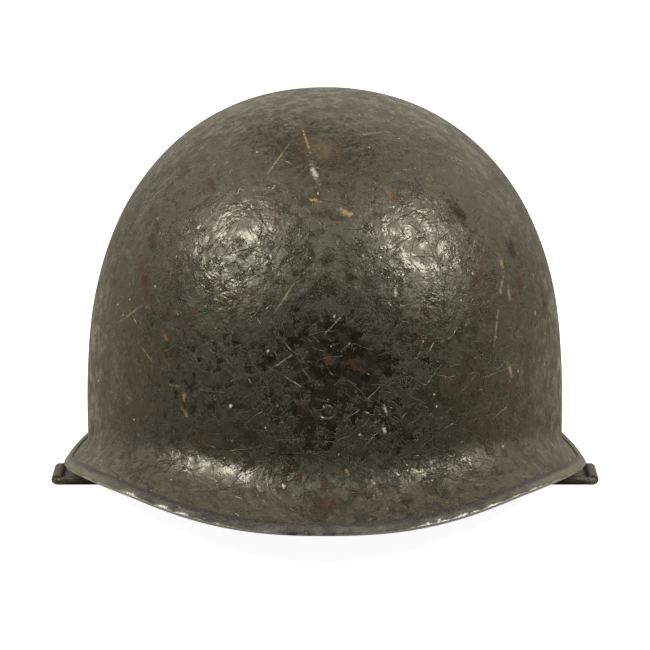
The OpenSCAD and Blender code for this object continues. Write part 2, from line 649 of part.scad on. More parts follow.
// Spring clips that hang the headband on the suspension band's lower edge
module headband_clips() {
    clip_w = 8;
    wall = clip_wall;
    leg = 12;
    gap = clip_gap;
    color(brass_black) for (k = [0:5]) {
        a = 60 * k;
        p = band_at(a, band_z, 0);
        q = band_at(a, band_z, web_t);
        turn = atan2(band_at(a + 1, band_z, 0)[1] - band_at(a - 1, band_z, 0)[1],
            band_at(a + 1, band_z, 0)[0] - band_at(a - 1, band_z, 0)[0]) - 90;
        far = norm(q - p) + gap;
        translate(p) rotate([0, 0, turn]) rotate([90, 0, 0]) linear_extrude(clip_w, center = true)
            polygon([[-gap - wall, -gap - wall], [far + wall, -gap - wall], [far + wall, leg],
                [far, leg], [far, -gap], [-gap, -gap], [-gap, leg], [-gap - wall, leg]]);
    }
}

// Slide buckle on the headband's overlap at the rear
module headband_buckle() {
    w = 18;
    h = 24;
    t = 1.4;
    p = ring_xy(90, headband_out + touch);
    color(brass_black) translate([p[0] - w / 2, p[1], headband_z + headband_h / 2 - 2]) difference() {
        cube([w, t, h - 6]);
        for (x = [2.5, w / 2 + 1.25]) translate([x, -1, 2.5]) cube([w / 2 - 3.75, t + 2, h - 11]);
    }
}

// Strap behind the nape, riveted at its ends and its middle
function nape_held(phi) = let(d = min([for (a = nape_angles) abs(phi - a)])) 1 - smooth((d - 5) / 16);
function nape_at(phi, z, out) =
    let(s = max(0, liner_s(phi, z + liner_nape_rise(phi))),
        wall = liner_off(phi, s, -liner_t - band_gap - web_t + out),
        near = ring_xy(phi, headband_out + 5 + out), held = nape_held(phi))
    [mix(near[0], wall[0], held), mix(near[1], wall[1], held), z + liner_nape_rise(phi)];
module nape_strap() {
    ends = [nape_angles[0] - 5, nape_angles[2] + 5];
    angles = [for (j = [0:30]) mix(ends[0], ends[1], j / 30)];
    color(cotton) difference() {
        skin([for (a = angles) [for (z = [nape_z[1], nape_z[0]]) nape_at(a, z, web_t)]],
            [for (a = angles) [for (z = [nape_z[1], nape_z[0]]) nape_at(a, z, 0)]]);
        for (a = nape_angles) on_liner(a, nape_rivet_z + liner_nape_rise(a)) wall_hole(rivet_r + 0.2);
    }
}
module nape_rivets() color(brass_black) for (a = nape_angles)
    on_liner(a, nape_rivet_z + liner_nape_rise(a)) rivet(liner_t + band_gap + web_t + washer_gap);

module chinstrap_stud(phi) color(brass_black) on_liner(phi, stud_z) {
    rivet(liner_t + facet_gap);
    translate([0, 0, -liner_t - facet_gap - 4.2]) cylinder(h = 3.4, r1 = 3.4, r2 = 1.7);
}
module left_chinstrap_stud() chinstrap_stud(stud_angle);
module right_chinstrap_stud() chinstrap_stud(180 - stud_angle);

steel_shell();
rim_band();
left_hinge_plate();
right_hinge_plate();
left_bail();
right_bail();
left_strap_loop();
right_strap_loop();
left_strap();
right_strap();
strap_buckle();
strap_end_loop();
strap_tip();
liner_shell();
front_eyelet();
suspension_band();
crown_strap_1();
crown_strap_2();
crown_strap_3();
crown_lace();
suspension_washers();
liner_rivets();
headband();
sweatband();
headband_clips();
headband_buckle();
nape_strap();
nape_rivets();
left_chinstrap_stud();
right_chinstrap_stud();
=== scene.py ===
"""Steel combat helmet of the middle of the 20th century, dressed for rendering.

The drawn steel shell, its folded rim strip, the strap loops, the chin strap and the liner with its
webbing cradle are built from the same surfaces as the frame's solids. Lengths inside the classes
are millimetres; meshes are in metres.
"""

import logging
import math
from dataclasses import dataclass, field
from enum import Enum
from typing import Any, Callable, Optional, Sequence

import bmesh
import bpy
import numpy as np
from mathutils import Matrix, Vector


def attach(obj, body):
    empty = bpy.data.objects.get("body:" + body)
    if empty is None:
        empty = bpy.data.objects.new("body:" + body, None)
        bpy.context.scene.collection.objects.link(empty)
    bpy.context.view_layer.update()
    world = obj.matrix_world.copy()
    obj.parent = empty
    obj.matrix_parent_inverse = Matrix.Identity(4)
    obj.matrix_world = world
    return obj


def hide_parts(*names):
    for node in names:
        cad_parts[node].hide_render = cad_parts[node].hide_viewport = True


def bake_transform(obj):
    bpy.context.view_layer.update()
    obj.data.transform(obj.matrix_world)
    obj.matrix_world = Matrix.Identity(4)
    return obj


log = logging.getLogger("helmet")
MM = 0.001
TAU = 2 * math.pi
Array = np.ndarray
Shape = bmesh.types.BMesh
Material = bpy.types.Material
Piece = bpy.types.Object
NodeTree = bpy.types.NodeTree
Socket = bpy.types.NodeSocket
Spot = tuple[float, float]
Route = list[Spot]
# Settings of a node that mixes colours, and the number of its colour output
RGBA: dict[str, Any] = {"take": 2, "data_type": "RGBA"}


# Shared mesh tools


def unit(vectors: Array) -> Array:
    """Vectors of length one along the last axis."""
    return vectors / np.maximum(np.linalg.norm(vectors, axis=-1, keepdims=True), 1e-9)


def smooth_step(value: Array) -> Array:
    """Smooth ramp from 0 to 1."""
    t = np.clip(value, 0.0, 1.0)
    return t * t * (3 - 2 * t)


def bezier(t: Array, first: Array, second: Array, third: Array, last: Array) -> Array:
    """Points of a curve that is pulled towards its second and third point."""
    u = 1 - t
    return u**3 * first + 3 * u * u * t * second + 3 * u * t * t * third + t**3 * last


def with_height(xy: Array, height: Array) -> Array:
    """Points from their places over the ground and their heights."""
    return np.concatenate([xy, np.asarray(height)[..., None]], axis=-1)


def path_length(path: Array) -> float:
    """Length of a path."""
    return float(np.linalg.norm(np.diff(path, axis=0), axis=1).sum())


def link(name: str, data: bpy.types.ID) -> Piece:
    """Puts data into the scene as an object at the origin.

    Args:
        name: Name of the object.
        data: Its mesh, lamp or camera.

    Returns:
        The object.
    """
    piece = bpy.data.objects.new(name, data)
    bpy.context.scene.collection.objects.link(piece)
    return piece


def to_object(shape: Shape, name: str, material: Material, sharp_degrees: float = 180.0) -> Piece:
    """Makes an object of a finished shape, with its faces pointing outwards.

    Args:
        shape: The mesh in metres; it is freed.
        name: Name of the new piece.
        material: Material for all faces.
        sharp_degrees: Edges over this angle are shaded sharp.

    Returns:
        The new piece.
    """
    if shape.calc_volume(signed=True) < 0:
        bmesh.ops.reverse_faces(shape, faces=shape.faces[:])
    mesh = bpy.data.meshes.new(name)
    shape.to_mesh(mesh)
    shape.free()
    mesh.materials.append(material)
    mesh.shade_smooth()
    if sharp_degrees < 180.0:
        mesh.set_sharp_from_angle(angle=math.radians(sharp_degrees))
    log.info("%s: %d faces", name, len(mesh.polygons))
    return link(name, mesh)


def join(shape: Shape, other: Shape) -> None:
    """Adds another shape's faces to a shape.

    Args:
        shape: The shape that grows.
        other: The shape that is added; it is freed.
    """
    spare = bpy.data.meshes.new("spare")
    other.to_mesh(spare)
    other.free()
    shape.from_mesh(spare)
    bpy.data.meshes.remove(spare)


def close_ends(shape: Shape) -> None:
    """Caps the open ends of a shape."""
    bmesh.ops.holes_fill(shape, edges=[e for e in shape.edges if e.is_boundary], sides=0)


def mapped_grid(
    columns: int, rows: int, place: Callable[[Array, Array], Array], size: Spot
) -> Shape:
    """Makes a grid and moves its points by a formula, then closes what meets.

    Args:
        columns: Steps along the first direction.
        rows: Steps along the second direction.
        place: Gives points for the two grid positions from 0 to 1.
        size: Real size that the map's two directions stand for.

    Returns:
        The shape in metres, with a UV map in metres.
    """
    shape = bmesh.new()
    chart = shape.loops.layers.uv.new("UVMap")
    bmesh.ops.create_grid(shape, x_segments=columns, y_segments=rows, size=0.5, calc_uvs=False)
    shape.verts.ensure_lookup_table()
    flat = np.array([v.co[:2] for v in shape.verts]) + 0.5
    for face in shape.faces:
        for corner in face.loops:
            u, v = flat[corner.vert.index]
            corner[chart].uv = (u * size[0] * MM, v * size[1] * MM)
    for vert, point in zip(shape.verts, place(flat[:, 0], flat[:, 1]) * MM):
        vert.co = point
    bmesh.ops.remove_doubles(shape, verts=shape.verts[:], dist=1e-6)
    return shape


def dome_wall(
    columns: int, rows: tuple[int, int], point: Callable[[Array, Array, Array], Array], size: Spot
) -> Shape:
    """Makes a dome with a brim as one closed wall: down its outside and up its inside.

    Args:
        columns: Steps round the dome.
        rows: Steps down the dome and down its brim.
        point: Gives points for angles, levels and whether they are inside.
        size: Real size that the map's two directions stand for.

    Returns:
        The shape in metres.
    """
    dome, brim = rows
    count = dome + brim
    ladder = np.concatenate([np.linspace(0, 1, dome + 1), np.linspace(1, 2, brim + 1)[1:]])

    def place(u: Array, v: Array) -> Array:
        """Points of the wall.

        Args:
            u: Grid positions along the first direction.
            v: Grid positions along the second direction.

        Returns:
            The points.
        """
        step = np.rint(v * (2 * count + 1)).astype(int)
        inside = step > count
        level = ladder[np.where(inside, 2 * count + 1 - step, step)]
        return point(-math.pi / 2 + u * TAU, level, inside)

    return mapped_grid(columns, 2 * count + 1, place, size)


def sweep(centres: Array, sides: Array, section: Array, width: float, closed: bool = False) -> Shape:
    """Sweeps a closed section along a path.

    Args:
        centres: Path points.
        sides: Direction of the section's first axis, one for all points or one for each.
        section: Closed outline as (side, out) points.
        width: Length that the map's second direction stands for.
        closed: Whether the path ends where it starts.

    Returns:
        The shape in metres, with capped ends where the path is open.
    """
    path, side = centres, np.broadcast_to(sides, centres.shape)
    if closed:
        path, side = np.vstack([path, path[:1]]), np.vstack([side, side[:1]])
        ahead = np.roll(centres, -1, axis=0) - np.roll(centres, 1, axis=0)
        ahead = np.vstack([ahead, ahead[:1]])
    else:
        ahead = np.gradient(path, axis=0)
    out = unit(np.cross(unit(ahead), side))
    side = unit(np.cross(out, unit(ahead)))
    steps = len(path) - 1

    def place(u: Array, v: Array) -> Array:
        """Points of the swept surface.

        Args:
            u: Grid positions along the first direction.
            v: Grid positions along the second direction.

        Returns:
            The points.
        """
        i = np.rint(u * steps).astype(int)
        j = np.rint(v * len(section)).astype(int) % len(section)
        return path[i] + side[i] * section[j, :1] + out[i] * section[j, 1:]

    shape = mapped_grid(steps, len(section), place, (path_length(path), width))
    if not closed:
        close_ends(shape)
    bmesh.ops.recalc_face_normals(shape, faces=shape.faces[:])
    return shape


def spline(points: Array, step: float) -> Array:
    """Smooth path through points, with even steps.

    Args:
        points: Points to pass.
        step: Distance between the path's points.

    Returns:
        Points of the smooth path.
    """
    p = np.vstack([2 * points[0] - points[1], points, 2 * points[-1] - points[-2]])
    t = np.linspace(0, 1, 24, endpoint=False)[:, None]
    runs = [
        0.5 * (2 * b + (c - a) * t + (2 * a - 5 * b + 4 * c - d) * t**2 + (3 * b - a - 3 * c + d) * t**3)
        for a, b, c, d in zip(p[:-3], p[1:-2], p[2:-1], p[3:])
    ]
    fine = np.vstack(runs + [points[-1:]])
    run = np.concatenate([[0], np.cumsum(np.linalg.norm(np.diff(fine, axis=0), axis=1))])
    even = np.linspace(0, run[-1], max(3, int(round(run[-1] / step)) + 1))
    return np.stack([np.interp(even, run, fine[:, k]) for k in range(3)], axis=1)


def strip_section(width: float, thickness: float, columns: int) -> Array:
    """Outline of a woven strip with soft edges.

    Args:
        width: Full width.
        thickness: Full thickness.
        columns: Steps across each flat face.

    Returns:
        The outline as (side, out) points.
    """
    edge = 0.5 * thickness
    across = np.linspace(-width / 2 + edge, width / 2 - edge, columns + 1)
    turn = np.radians([60, 0, -60])
    right = np.stack([width / 2 - edge + edge * np.cos(turn), edge * np.sin(turn)], axis=1)
    top = np.stack([across, np.full_like(across, edge)], axis=1)
    return np.vstack([top, right, top[::-1] * (1, -1), -right])


def round_section(radius: float, count: int) -> Array:
    """Outline of a round bar."""
    turn = np.linspace(0, TAU, count, endpoint=False)
    return radius * np.stack([np.cos(turn), np.sin(turn)], axis=1)


def polished_copy(node: str, name: str, material: Material, bevel: float, body: str) -> None:
    """Copies a hard node of the frame and gives its edges a small round.

    Args:
        node: Node to copy and hide.
        name: Name of the new piece.
        material: Its finish.
        bevel: Width of the rounded edges.
        body: Body that it moves with.
    """
    shape = bmesh.new()
    shape.from_mesh(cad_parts[node].data)
    bmesh.ops.remove_doubles(shape, verts=shape.verts[:], dist=2e-6)
    bmesh.ops.dissolve_limit(
        shape,
        angle_limit=math.radians(1.0),
        use_dissolve_boundaries=False,
        verts=shape.verts[:],
        edges=shape.edges[:],
        delimit={"NORMAL"},
    )
    bmesh.ops.bevel(
        shape,
        geom=[e for e in shape.edges if e.is_manifold and e.calc_face_angle(0) > math.radians(35)],
        offset=bevel * MM,
        offset_type="OFFSET",
        segments=2,
        profile=0.5,
        affect="EDGES",
        clamp_overlap=True,
        material=-1,
    )
    bmesh.ops.remove_doubles(shape, verts=shape.verts[:], dist=1e-6)
    piece = to_object(shape, name, material, 40.0)
    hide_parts(node)
    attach(piece, body)


def stitches(places: Array, alongs: Array, outs: Array, size: Sequence[float]) -> Shape:
    """Small thread bumps at given places.

    Args:
        places: Middle of each stitch.
        alongs: Direction of each stitch.
        outs: Direction in which it stands proud.
        size: Length, width and height.

    Returns:
        The stitches as one shape in metres.
    """
    shape = bmesh.new()
    grow = Matrix.Diagonal((*(0.5 * MM * np.array(size)), 1.0))
    for place, along, out in zip(places, unit(alongs), unit(outs)):
        turn = Matrix((along, np.cross(out, along), out)).transposed().to_4x4()
        where = Matrix.Translation(Vector(place * MM)) @ turn @ grow
        bmesh.ops.create_uvsphere(shape, u_segments=6, v_segments=4, radius=1.0, matrix=where)
    return shape


# Finishes


def linear(code: str) -> tuple[float, ...]:
    """Linear colour of an sRGB hex value."""
    parts = [int(code[i : i + 2], 16) / 255 for i in (1, 3, 5)]
    return (*(p / 12.92 if p <= 0.04045 else ((p + 0.055) / 1.055) ** 2.4 for p in parts), 1.0)


def add(
    tree: NodeTree, kind: str, links: Optional[dict] = None, take: int | str = 0, **settings: Any
) -> Socket:
    """Adds a node with its settings and inputs.

    Args:
        tree: Tree that gets the node.
        kind: Node type, without its common prefix.
        links: Values or sockets for its inputs, by name or number.
        take: Name or number of the output to hand back.
        **settings: Properties of the node.

    Returns:
        One of its outputs, or the first input of a node that has none.
    """
    node = tree.nodes.new("ShaderNode" + kind)
    for key, value in settings.items():
        setattr(node, key, value)
    for key, value in (links or {}).items():
        if isinstance(value, Socket):
            tree.links.new(value, node.inputs[key])
        else:
            node.inputs[key].default_value = value
    return node.outputs[take] if len(node.outputs) else node.inputs[0]


def emptied(owner: bpy.types.ID) -> NodeTree:
    """Empties the node tree of a material or of the world.

    Args:
        owner: The material or the world.

    Returns:
        Its tree, without nodes.
    """
    owner.use_nodes = True
    owner.node_tree.nodes.clear()
    return owner.node_tree


class Chart(Enum):
    """Coordinates that a pattern follows."""

    OBJECT = "Object"
    CLOTH = "UV"


def new_material(name: str, chart: Chart) -> tuple[Material, NodeTree, Socket]:
    """Starts a material whose coordinates count in millimetres.

    Args:
        name: Common name of the real material.
        chart: Coordinates that its patterns follow.

    Returns:
        The material, its emptied tree and the coordinates.
    """
    material = bpy.data.materials.new(name)
    tree = emptied(material)
    source = add(tree, "TexCoord", take=chart.value)
    return material, tree, add(tree, "Mapping", {"Vector": source, "Scale": (1000, 1000, 1000)})


@dataclass(frozen=True)
class Mark:
    """A scratch, chip, stain or painted shade line at its place on the front of the shell.

    Attributes:
        start: One end as (x, z).
        end: The other end.
        width: Its width.
    """

    start: tuple[float, float]
    end: tuple[float, float]
    width: float


@dataclass(frozen=True)
class WornPaint:
    """Sprayed olive paint over steel or laminate, scuffed and flaked by long use.

    Sound paint has an uneven satin shine over a gently swelling surface. Flaked, rusty and dirty
    places are dull, so the soft boxes' reflections break up into bright and dark patches.

    Attributes:
        marks: Groups of marks at chosen places, each group with its colour.
        dimple: Middle of a small pressed ring on the front.
        packed_on: Middle of an area where much of the paint has flaked off.
    """

    name: str
    sound: str = "#242114"
    rubbed: str = "#353023"
    stained: str = "#292015"
    ground: str = "#16140b"
    rust: str = "#3a261b"
    scored: str = "#857f6d"
    chip: str = "#a8a28f"
    gleam: str = "#fffae0"
    shine: float = 0.85
    flaked: float = 1.0
    scratched: float = 1.0
    chipped: float = 1.0
    rusted: float = 1.0
    satin: float = 0.43
    relief: float = 1.0
    chip_cell: float = 4.5
    scratch_cells: tuple[Spot, ...] = ((6.0, 0.45), (13.0, 0.55), (31.0, 0.60))
    ring_radius: float = 2.9
    marks: tuple[tuple[str, tuple[Mark, ...]], ...] = ()
    dimple: Optional[tuple[float, float, float]] = None
    packed_on: Optional[tuple[float, float, float]] = None

    def build(self) -> Material:
        """Makes the material.

        Returns:
            The material.
        """
        material, tree, where = new_material(self.name, Chart.OBJECT)
        warp = add(tree, "TexNoise", {"Vector": where, "Scale": 1 / 19, "Detail": 2.0}, "Color")
        warp = add(tree, "VectorMath", {0: warp, 1: (8, 8, 8)}, operation="MULTIPLY")
        bent = add(tree, "VectorMath", {0: where, 1: warp}, operation="ADD")
        wide = add(tree, "TexNoise", {"Vector": where, "Scale": 1 / 55, "Detail": 3.0})
        patch = add(tree, "TexNoise", {"Vector": where, "Scale": 1 / 6, "Detail": 8.0, "Roughness": 0.8})
        fleck = add(tree, "TexNoise", {"Vector": bent, "Scale": 1 / 3.4, "Detail": 6.0, "Roughness": 0.78})
        grain = add(tree, "TexNoise", {"Vector": where, "Scale": 1 / 1.1, "Detail": 1.0})
        ragged = add(tree, "TexNoise", {"Vector": where, "Scale": 1 / 2.2, "Detail": 6.0, "Roughness": 0.8})
        # Sound paint, paler where it is rubbed and browner where it is stained
        share = add(tree, "MapRange", {0: fleck, 1: 0.36, 2: 0.68})
        colour = add(tree, "Mix", {0: share, 6: linear(self.sound), 7: linear(self.rubbed)}, **RGBA)
        brown = add(tree, "MapRange", {0: wide, 1: 0.42, 2: 0.62, 4: 0.6})
        colour = add(tree, "Mix", {0: brown, 6: colour, 7: linear(self.stained)}, **RGBA)
        # Flaked patches with a hard edge, more of them in some areas than in others
        more = add(tree, "MapRange", {0: wide, 1: 0.36, 2: 0.62, 3: 0.59, 4: 0.46})
        bare = add(tree, "Math", {0: patch, 1: more}, operation="SUBTRACT")
        if self.packed_on:
            far = add(tree, "VectorMath", {0: where, 1: self.packed_on}, "Value", operation="DISTANCE")
            far = add(tree, "MapRange", {0: far, 1: 66.0, 2: 18.0})
            bare = add(tree, "Math", {0: far, 1: 0.125, 2: bare}, operation="MULTIPLY_ADD")
            bare = add(tree, "Math", {0: bare, 1: 0.035}, operation="SUBTRACT")
            soot = add(tree, "Math", {0: far, 1: 0.55}, operation="MULTIPLY")
            colour = add(tree, "Mix", {0: soot, 6: colour, 7: linear(self.ground)}, **RGBA)
        bare = add(tree, "MapRange", {0: bare, 1: 0.0, 2: 0.06, 4: self.flaked})
        colour = add(tree, "Mix", {0: bare, 6: colour, 7: linear(self.ground)}, **RGBA)
        # Rust that has bled through in small patches
        seed = add(tree, "Mapping", {"Vector": where, "Location": (310.0, 77.0, 41.0)})
        bleed = add(tree, "TexNoise", {"Vector": seed, "Scale": 1 / 17, "Detail": 9.0, "Roughness": 0.74})
        rusty = add(tree, "MapRange", {0: bleed, 1: 0.585, 2: 0.66, 4: 0.7 * self.rusted})
        colour = add(tree, "Mix", {0: rusty, 6: colour, 7: linear(self.rust)}, **RGBA)
        lines = self._scratches(tree, bent)
        shown = add(tree, "MapRange", {0: patch, 1: 0.42, 2: 0.58, 3: 0.0, 4: 0.17 * self.scratched})
        shown = add(tree, "Math", {0: lines, 1: shown}, operation="MULTIPLY")
        colour = add(tree, "Mix", {0: shown, 6: colour, 7: linear(self.scored)}, **RGBA)
        # Small chips down to bright metal: a few of the cells of a fine pattern
        cells = add(tree, "TexVoronoi", {"Vector": bent, "Scale": 1 / self.chip_cell}, "Position")
        pick = add(tree, "TexWhiteNoise", {"Vector": cells})
        size = add(tree, "MapRange", {0: pick, 1: 0.86, 2: 1.0, 4: 0.19 * self.chipped})
        away = cells.node.outputs["Distance"]
        near = add(tree, "Math", {0: grain, 1: 0.5, 2: away}, operation="MULTIPLY_ADD")
        near = add(tree, "Math", {0: near, 1: 0.21}, operation="SUBTRACT")
        near = add(tree, "Math", {0: near, 1: size}, operation="LESS_THAN")
        colour = add(tree, "Mix", {0: near, 6: colour, 7: linear(self.chip)}, **RGBA)
        dull = add(tree, "Math", {0: bare, 1: 0.2}, operation="MULTIPLY")
        for code, group in self.marks:
            spread = self._marks(tree, where, ragged, group)
            dull = add(tree, "Math", {0: dull, 1: spread}, operation="MAXIMUM")
            colour = add(tree, "Mix", {0: spread, 6: colour, 7: linear(code)}, **RGBA)
        swell = add(tree, "TexNoise", {"Vector": bent, "Scale": 1 / 4.4, "Detail": 2.0, "Roughness": 0.5})
        height = add(tree, "Math", {0: swell, 1: 0.62}, operation="MULTIPLY")
        for part, depth in ((grain, 0.16), (bare, -0.16), (lines, -0.24)):
            height = add(tree, "Math", {0: part, 1: depth, 2: height}, operation="MULTIPLY_ADD")
        if self.dimple:
            height, colour = self._dimple(tree, where, height, colour)
        metal = add(tree, "Math", {0: lines, 1: bare}, operation="MAXIMUM")
        gloss = add(tree, "TexNoise", {"Vector": bent, "Scale": 1 / 7, "Detail": 5.0, "Roughness": 0.7})
        smooth, matt = self.satin - 0.17, self.satin + 0.08
        rough = add(tree, "MapRange", {0: gloss, 1: 0.44, 2: 0.54, 3: smooth, 4: matt})
        rough = add(tree, "Math", {0: metal, 1: -0.08, 2: rough}, operation="MULTIPLY_ADD")
        metal = add(tree, "Math", {0: shown, 1: 1.6}, operation="MULTIPLY", use_clamp=True)
        rough = add(tree, "Math", {0: dull, 1: 0.22, 2: rough}, operation="MULTIPLY_ADD")
        bump = add(tree, "Bump", {"Height": height, "Distance": self.relief * MM, "Strength": 1.0})
        skin = {"Base Color": colour, "Roughness": rough, "Metallic": metal, "Normal": bump}
        skin["Specular Tint"] = linear(self.gleam)
        # Dirt, rust and bare patches reflect less than sound paint
        skin["Specular IOR Level"] = add(tree, "MapRange", {0: dull, 3: self.shine, 4: 0.05})
        add(tree, "OutputMaterial", {"Surface": add(tree, "BsdfPrincipled", skin)})
        return material

    def _scratches(self, tree: NodeTree, where: Socket) -> Socket:
        """Straight fine scratches in every direction.

        Each cell of a pattern holds at most one, a line through its middle along the surface.

        Args:
            tree: Tree of the material.
            where: Coordinates.

        Returns:
            A socket from 0 to 1.
        """
        normal = add(tree, "TexCoord", take="Normal")
        total: Optional[Socket] = None
        for cell, width in self.scratch_cells:
            spot = add(tree, "Mapping", {"Vector": where, "Location": (cell * 7.3, cell * 1.9, cell * 4.1)})
            middle = add(tree, "TexVoronoi", {"Vector": spot, "Scale": 1 / cell}, "Position")
            dice = add(tree, "TexWhiteNoise", {"Vector": middle}, "Color")
            away = add(tree, "VectorMath", {0: spot, 1: middle}, operation="SUBTRACT")
            way = add(tree, "VectorMath", {0: dice, 1: (0.5, 0.5, 0.5)}, operation="SUBTRACT")
            way = add(tree, "VectorMath", {0: way, 1: normal}, operation="CROSS_PRODUCT")
            way = add(tree, "VectorMath", {0: way}, operation="NORMALIZE")
            off = add(tree, "VectorMath", {0: away, 1: way}, "Value", operation="DOT_PRODUCT")
            off = add(tree, "Math", {0: off}, operation="ABSOLUTE")
            line = add(tree, "MapRange", {0: off, 1: width * 0.5, 2: width * 0.1})
            reach = add(tree, "VectorMath", {0: away}, "Value", operation="LENGTH")
            fade = add(tree, "MapRange", {0: reach, 1: cell * 0.62, 2: cell * 0.3})
            line = add(tree, "Math", {0: line, 1: fade}, operation="MULTIPLY")
            total = line if total is None else add(tree, "Math", {0: total, 1: line}, operation="MAXIMUM")
        return total

    @staticmethod
    def _marks(tree: NodeTree, where: Socket, ragged: Socket, group: Sequence[Mark]) -> Socket:
        """How much of a group of marks shows at a place on the front.

        Args:
            tree: Tree of the material.
            where: Coordinates.
            ragged: Noise that breaks the marks' edges.
            group: Marks of one colour.

        Returns:
            A socket from 0 to 1.
        """
        nearest: Optional[Socket] = None
        for mark in group:
            (x0, z0), (x1, z1) = mark.start, mark.end
            size = (math.hypot(x1 - x0, z1 - z0) / 2 + mark.width / 2, 1e6, mark.width / 2)
            turn = (0.0, -math.atan2(z1 - z0, x1 - x0), 0.0)
            middle = ((x0 + x1) / 2, 0.0, (z0 + z1) / 2)
            spot = {"Vector": where, "Location": middle, "Rotation": turn, "Scale": size}
            oval = add(tree, "Mapping", spot, vector_type="TEXTURE")
            far = add(tree, "VectorMath", {0: oval}, "Value", operation="LENGTH")
            nearest = far if nearest is None else add(tree, "Math", {0: nearest, 1: far}, operation="MINIMUM")
        far = add(tree, "Math", {0: ragged, 1: 4.0, 2: nearest}, operation="MULTIPLY_ADD")
        depth = add(tree, "SeparateXYZ", {0: where}, 1)
        shown = add(tree, "MapRange", {0: far, 1: 2.75, 2: 2.2, 4: 0.75})
        front = add(tree, "Math", {0: depth, 1: 0.0}, operation="LESS_THAN")
        return add(tree, "Math", {0: shown, 1: front}, operation="MULTIPLY")

    def _dimple(
        self, tree: NodeTree, where: Socket, height: Socket, colour: Socket
    ) -> tuple[Socket, Socket]:
        """Adds a small round pressed ring to the relief and the colour.

        Args:
            tree: Tree of the material.
            where: Coordinates.
            height: Relief so far.
            colour: Colour so far.

        Returns:
            The new relief and colour.
        """
        flat = add(tree, "VectorMath", {0: where, 1: (1, 0, 1)}, operation="MULTIPLY")
        far = add(tree, "VectorMath", {0: flat, 1: self.dimple}, "Value", operation="DISTANCE")
        ring = add(tree, "Math", {0: far, 1: self.ring_radius}, operation="SUBTRACT")
        ring = add(tree, "Math", {0: ring}, operation="ABSOLUTE")
        ring = add(tree, "MapRange", {0: ring, 1: 1.0, 2: 0.2})
        depth = add(tree, "SeparateXYZ", {0: where}, 1)
        front = add(tree, "Math", {0: depth, 1: 0.0}, operation="LESS_THAN")
        ring = add(tree, "Math", {0: ring, 1: front}, operation="MULTIPLY")
        height = add(tree, "Math", {0: ring, 1: -0.6, 2: height}, operation="MULTIPLY_ADD")
        dark = add(tree, "Math", {0: ring, 1: 0.6}, operation="MULTIPLY")
        return height, add(tree, "Mix", {0: dark, 6: colour, 7: linear(self.ground)}, **RGBA)


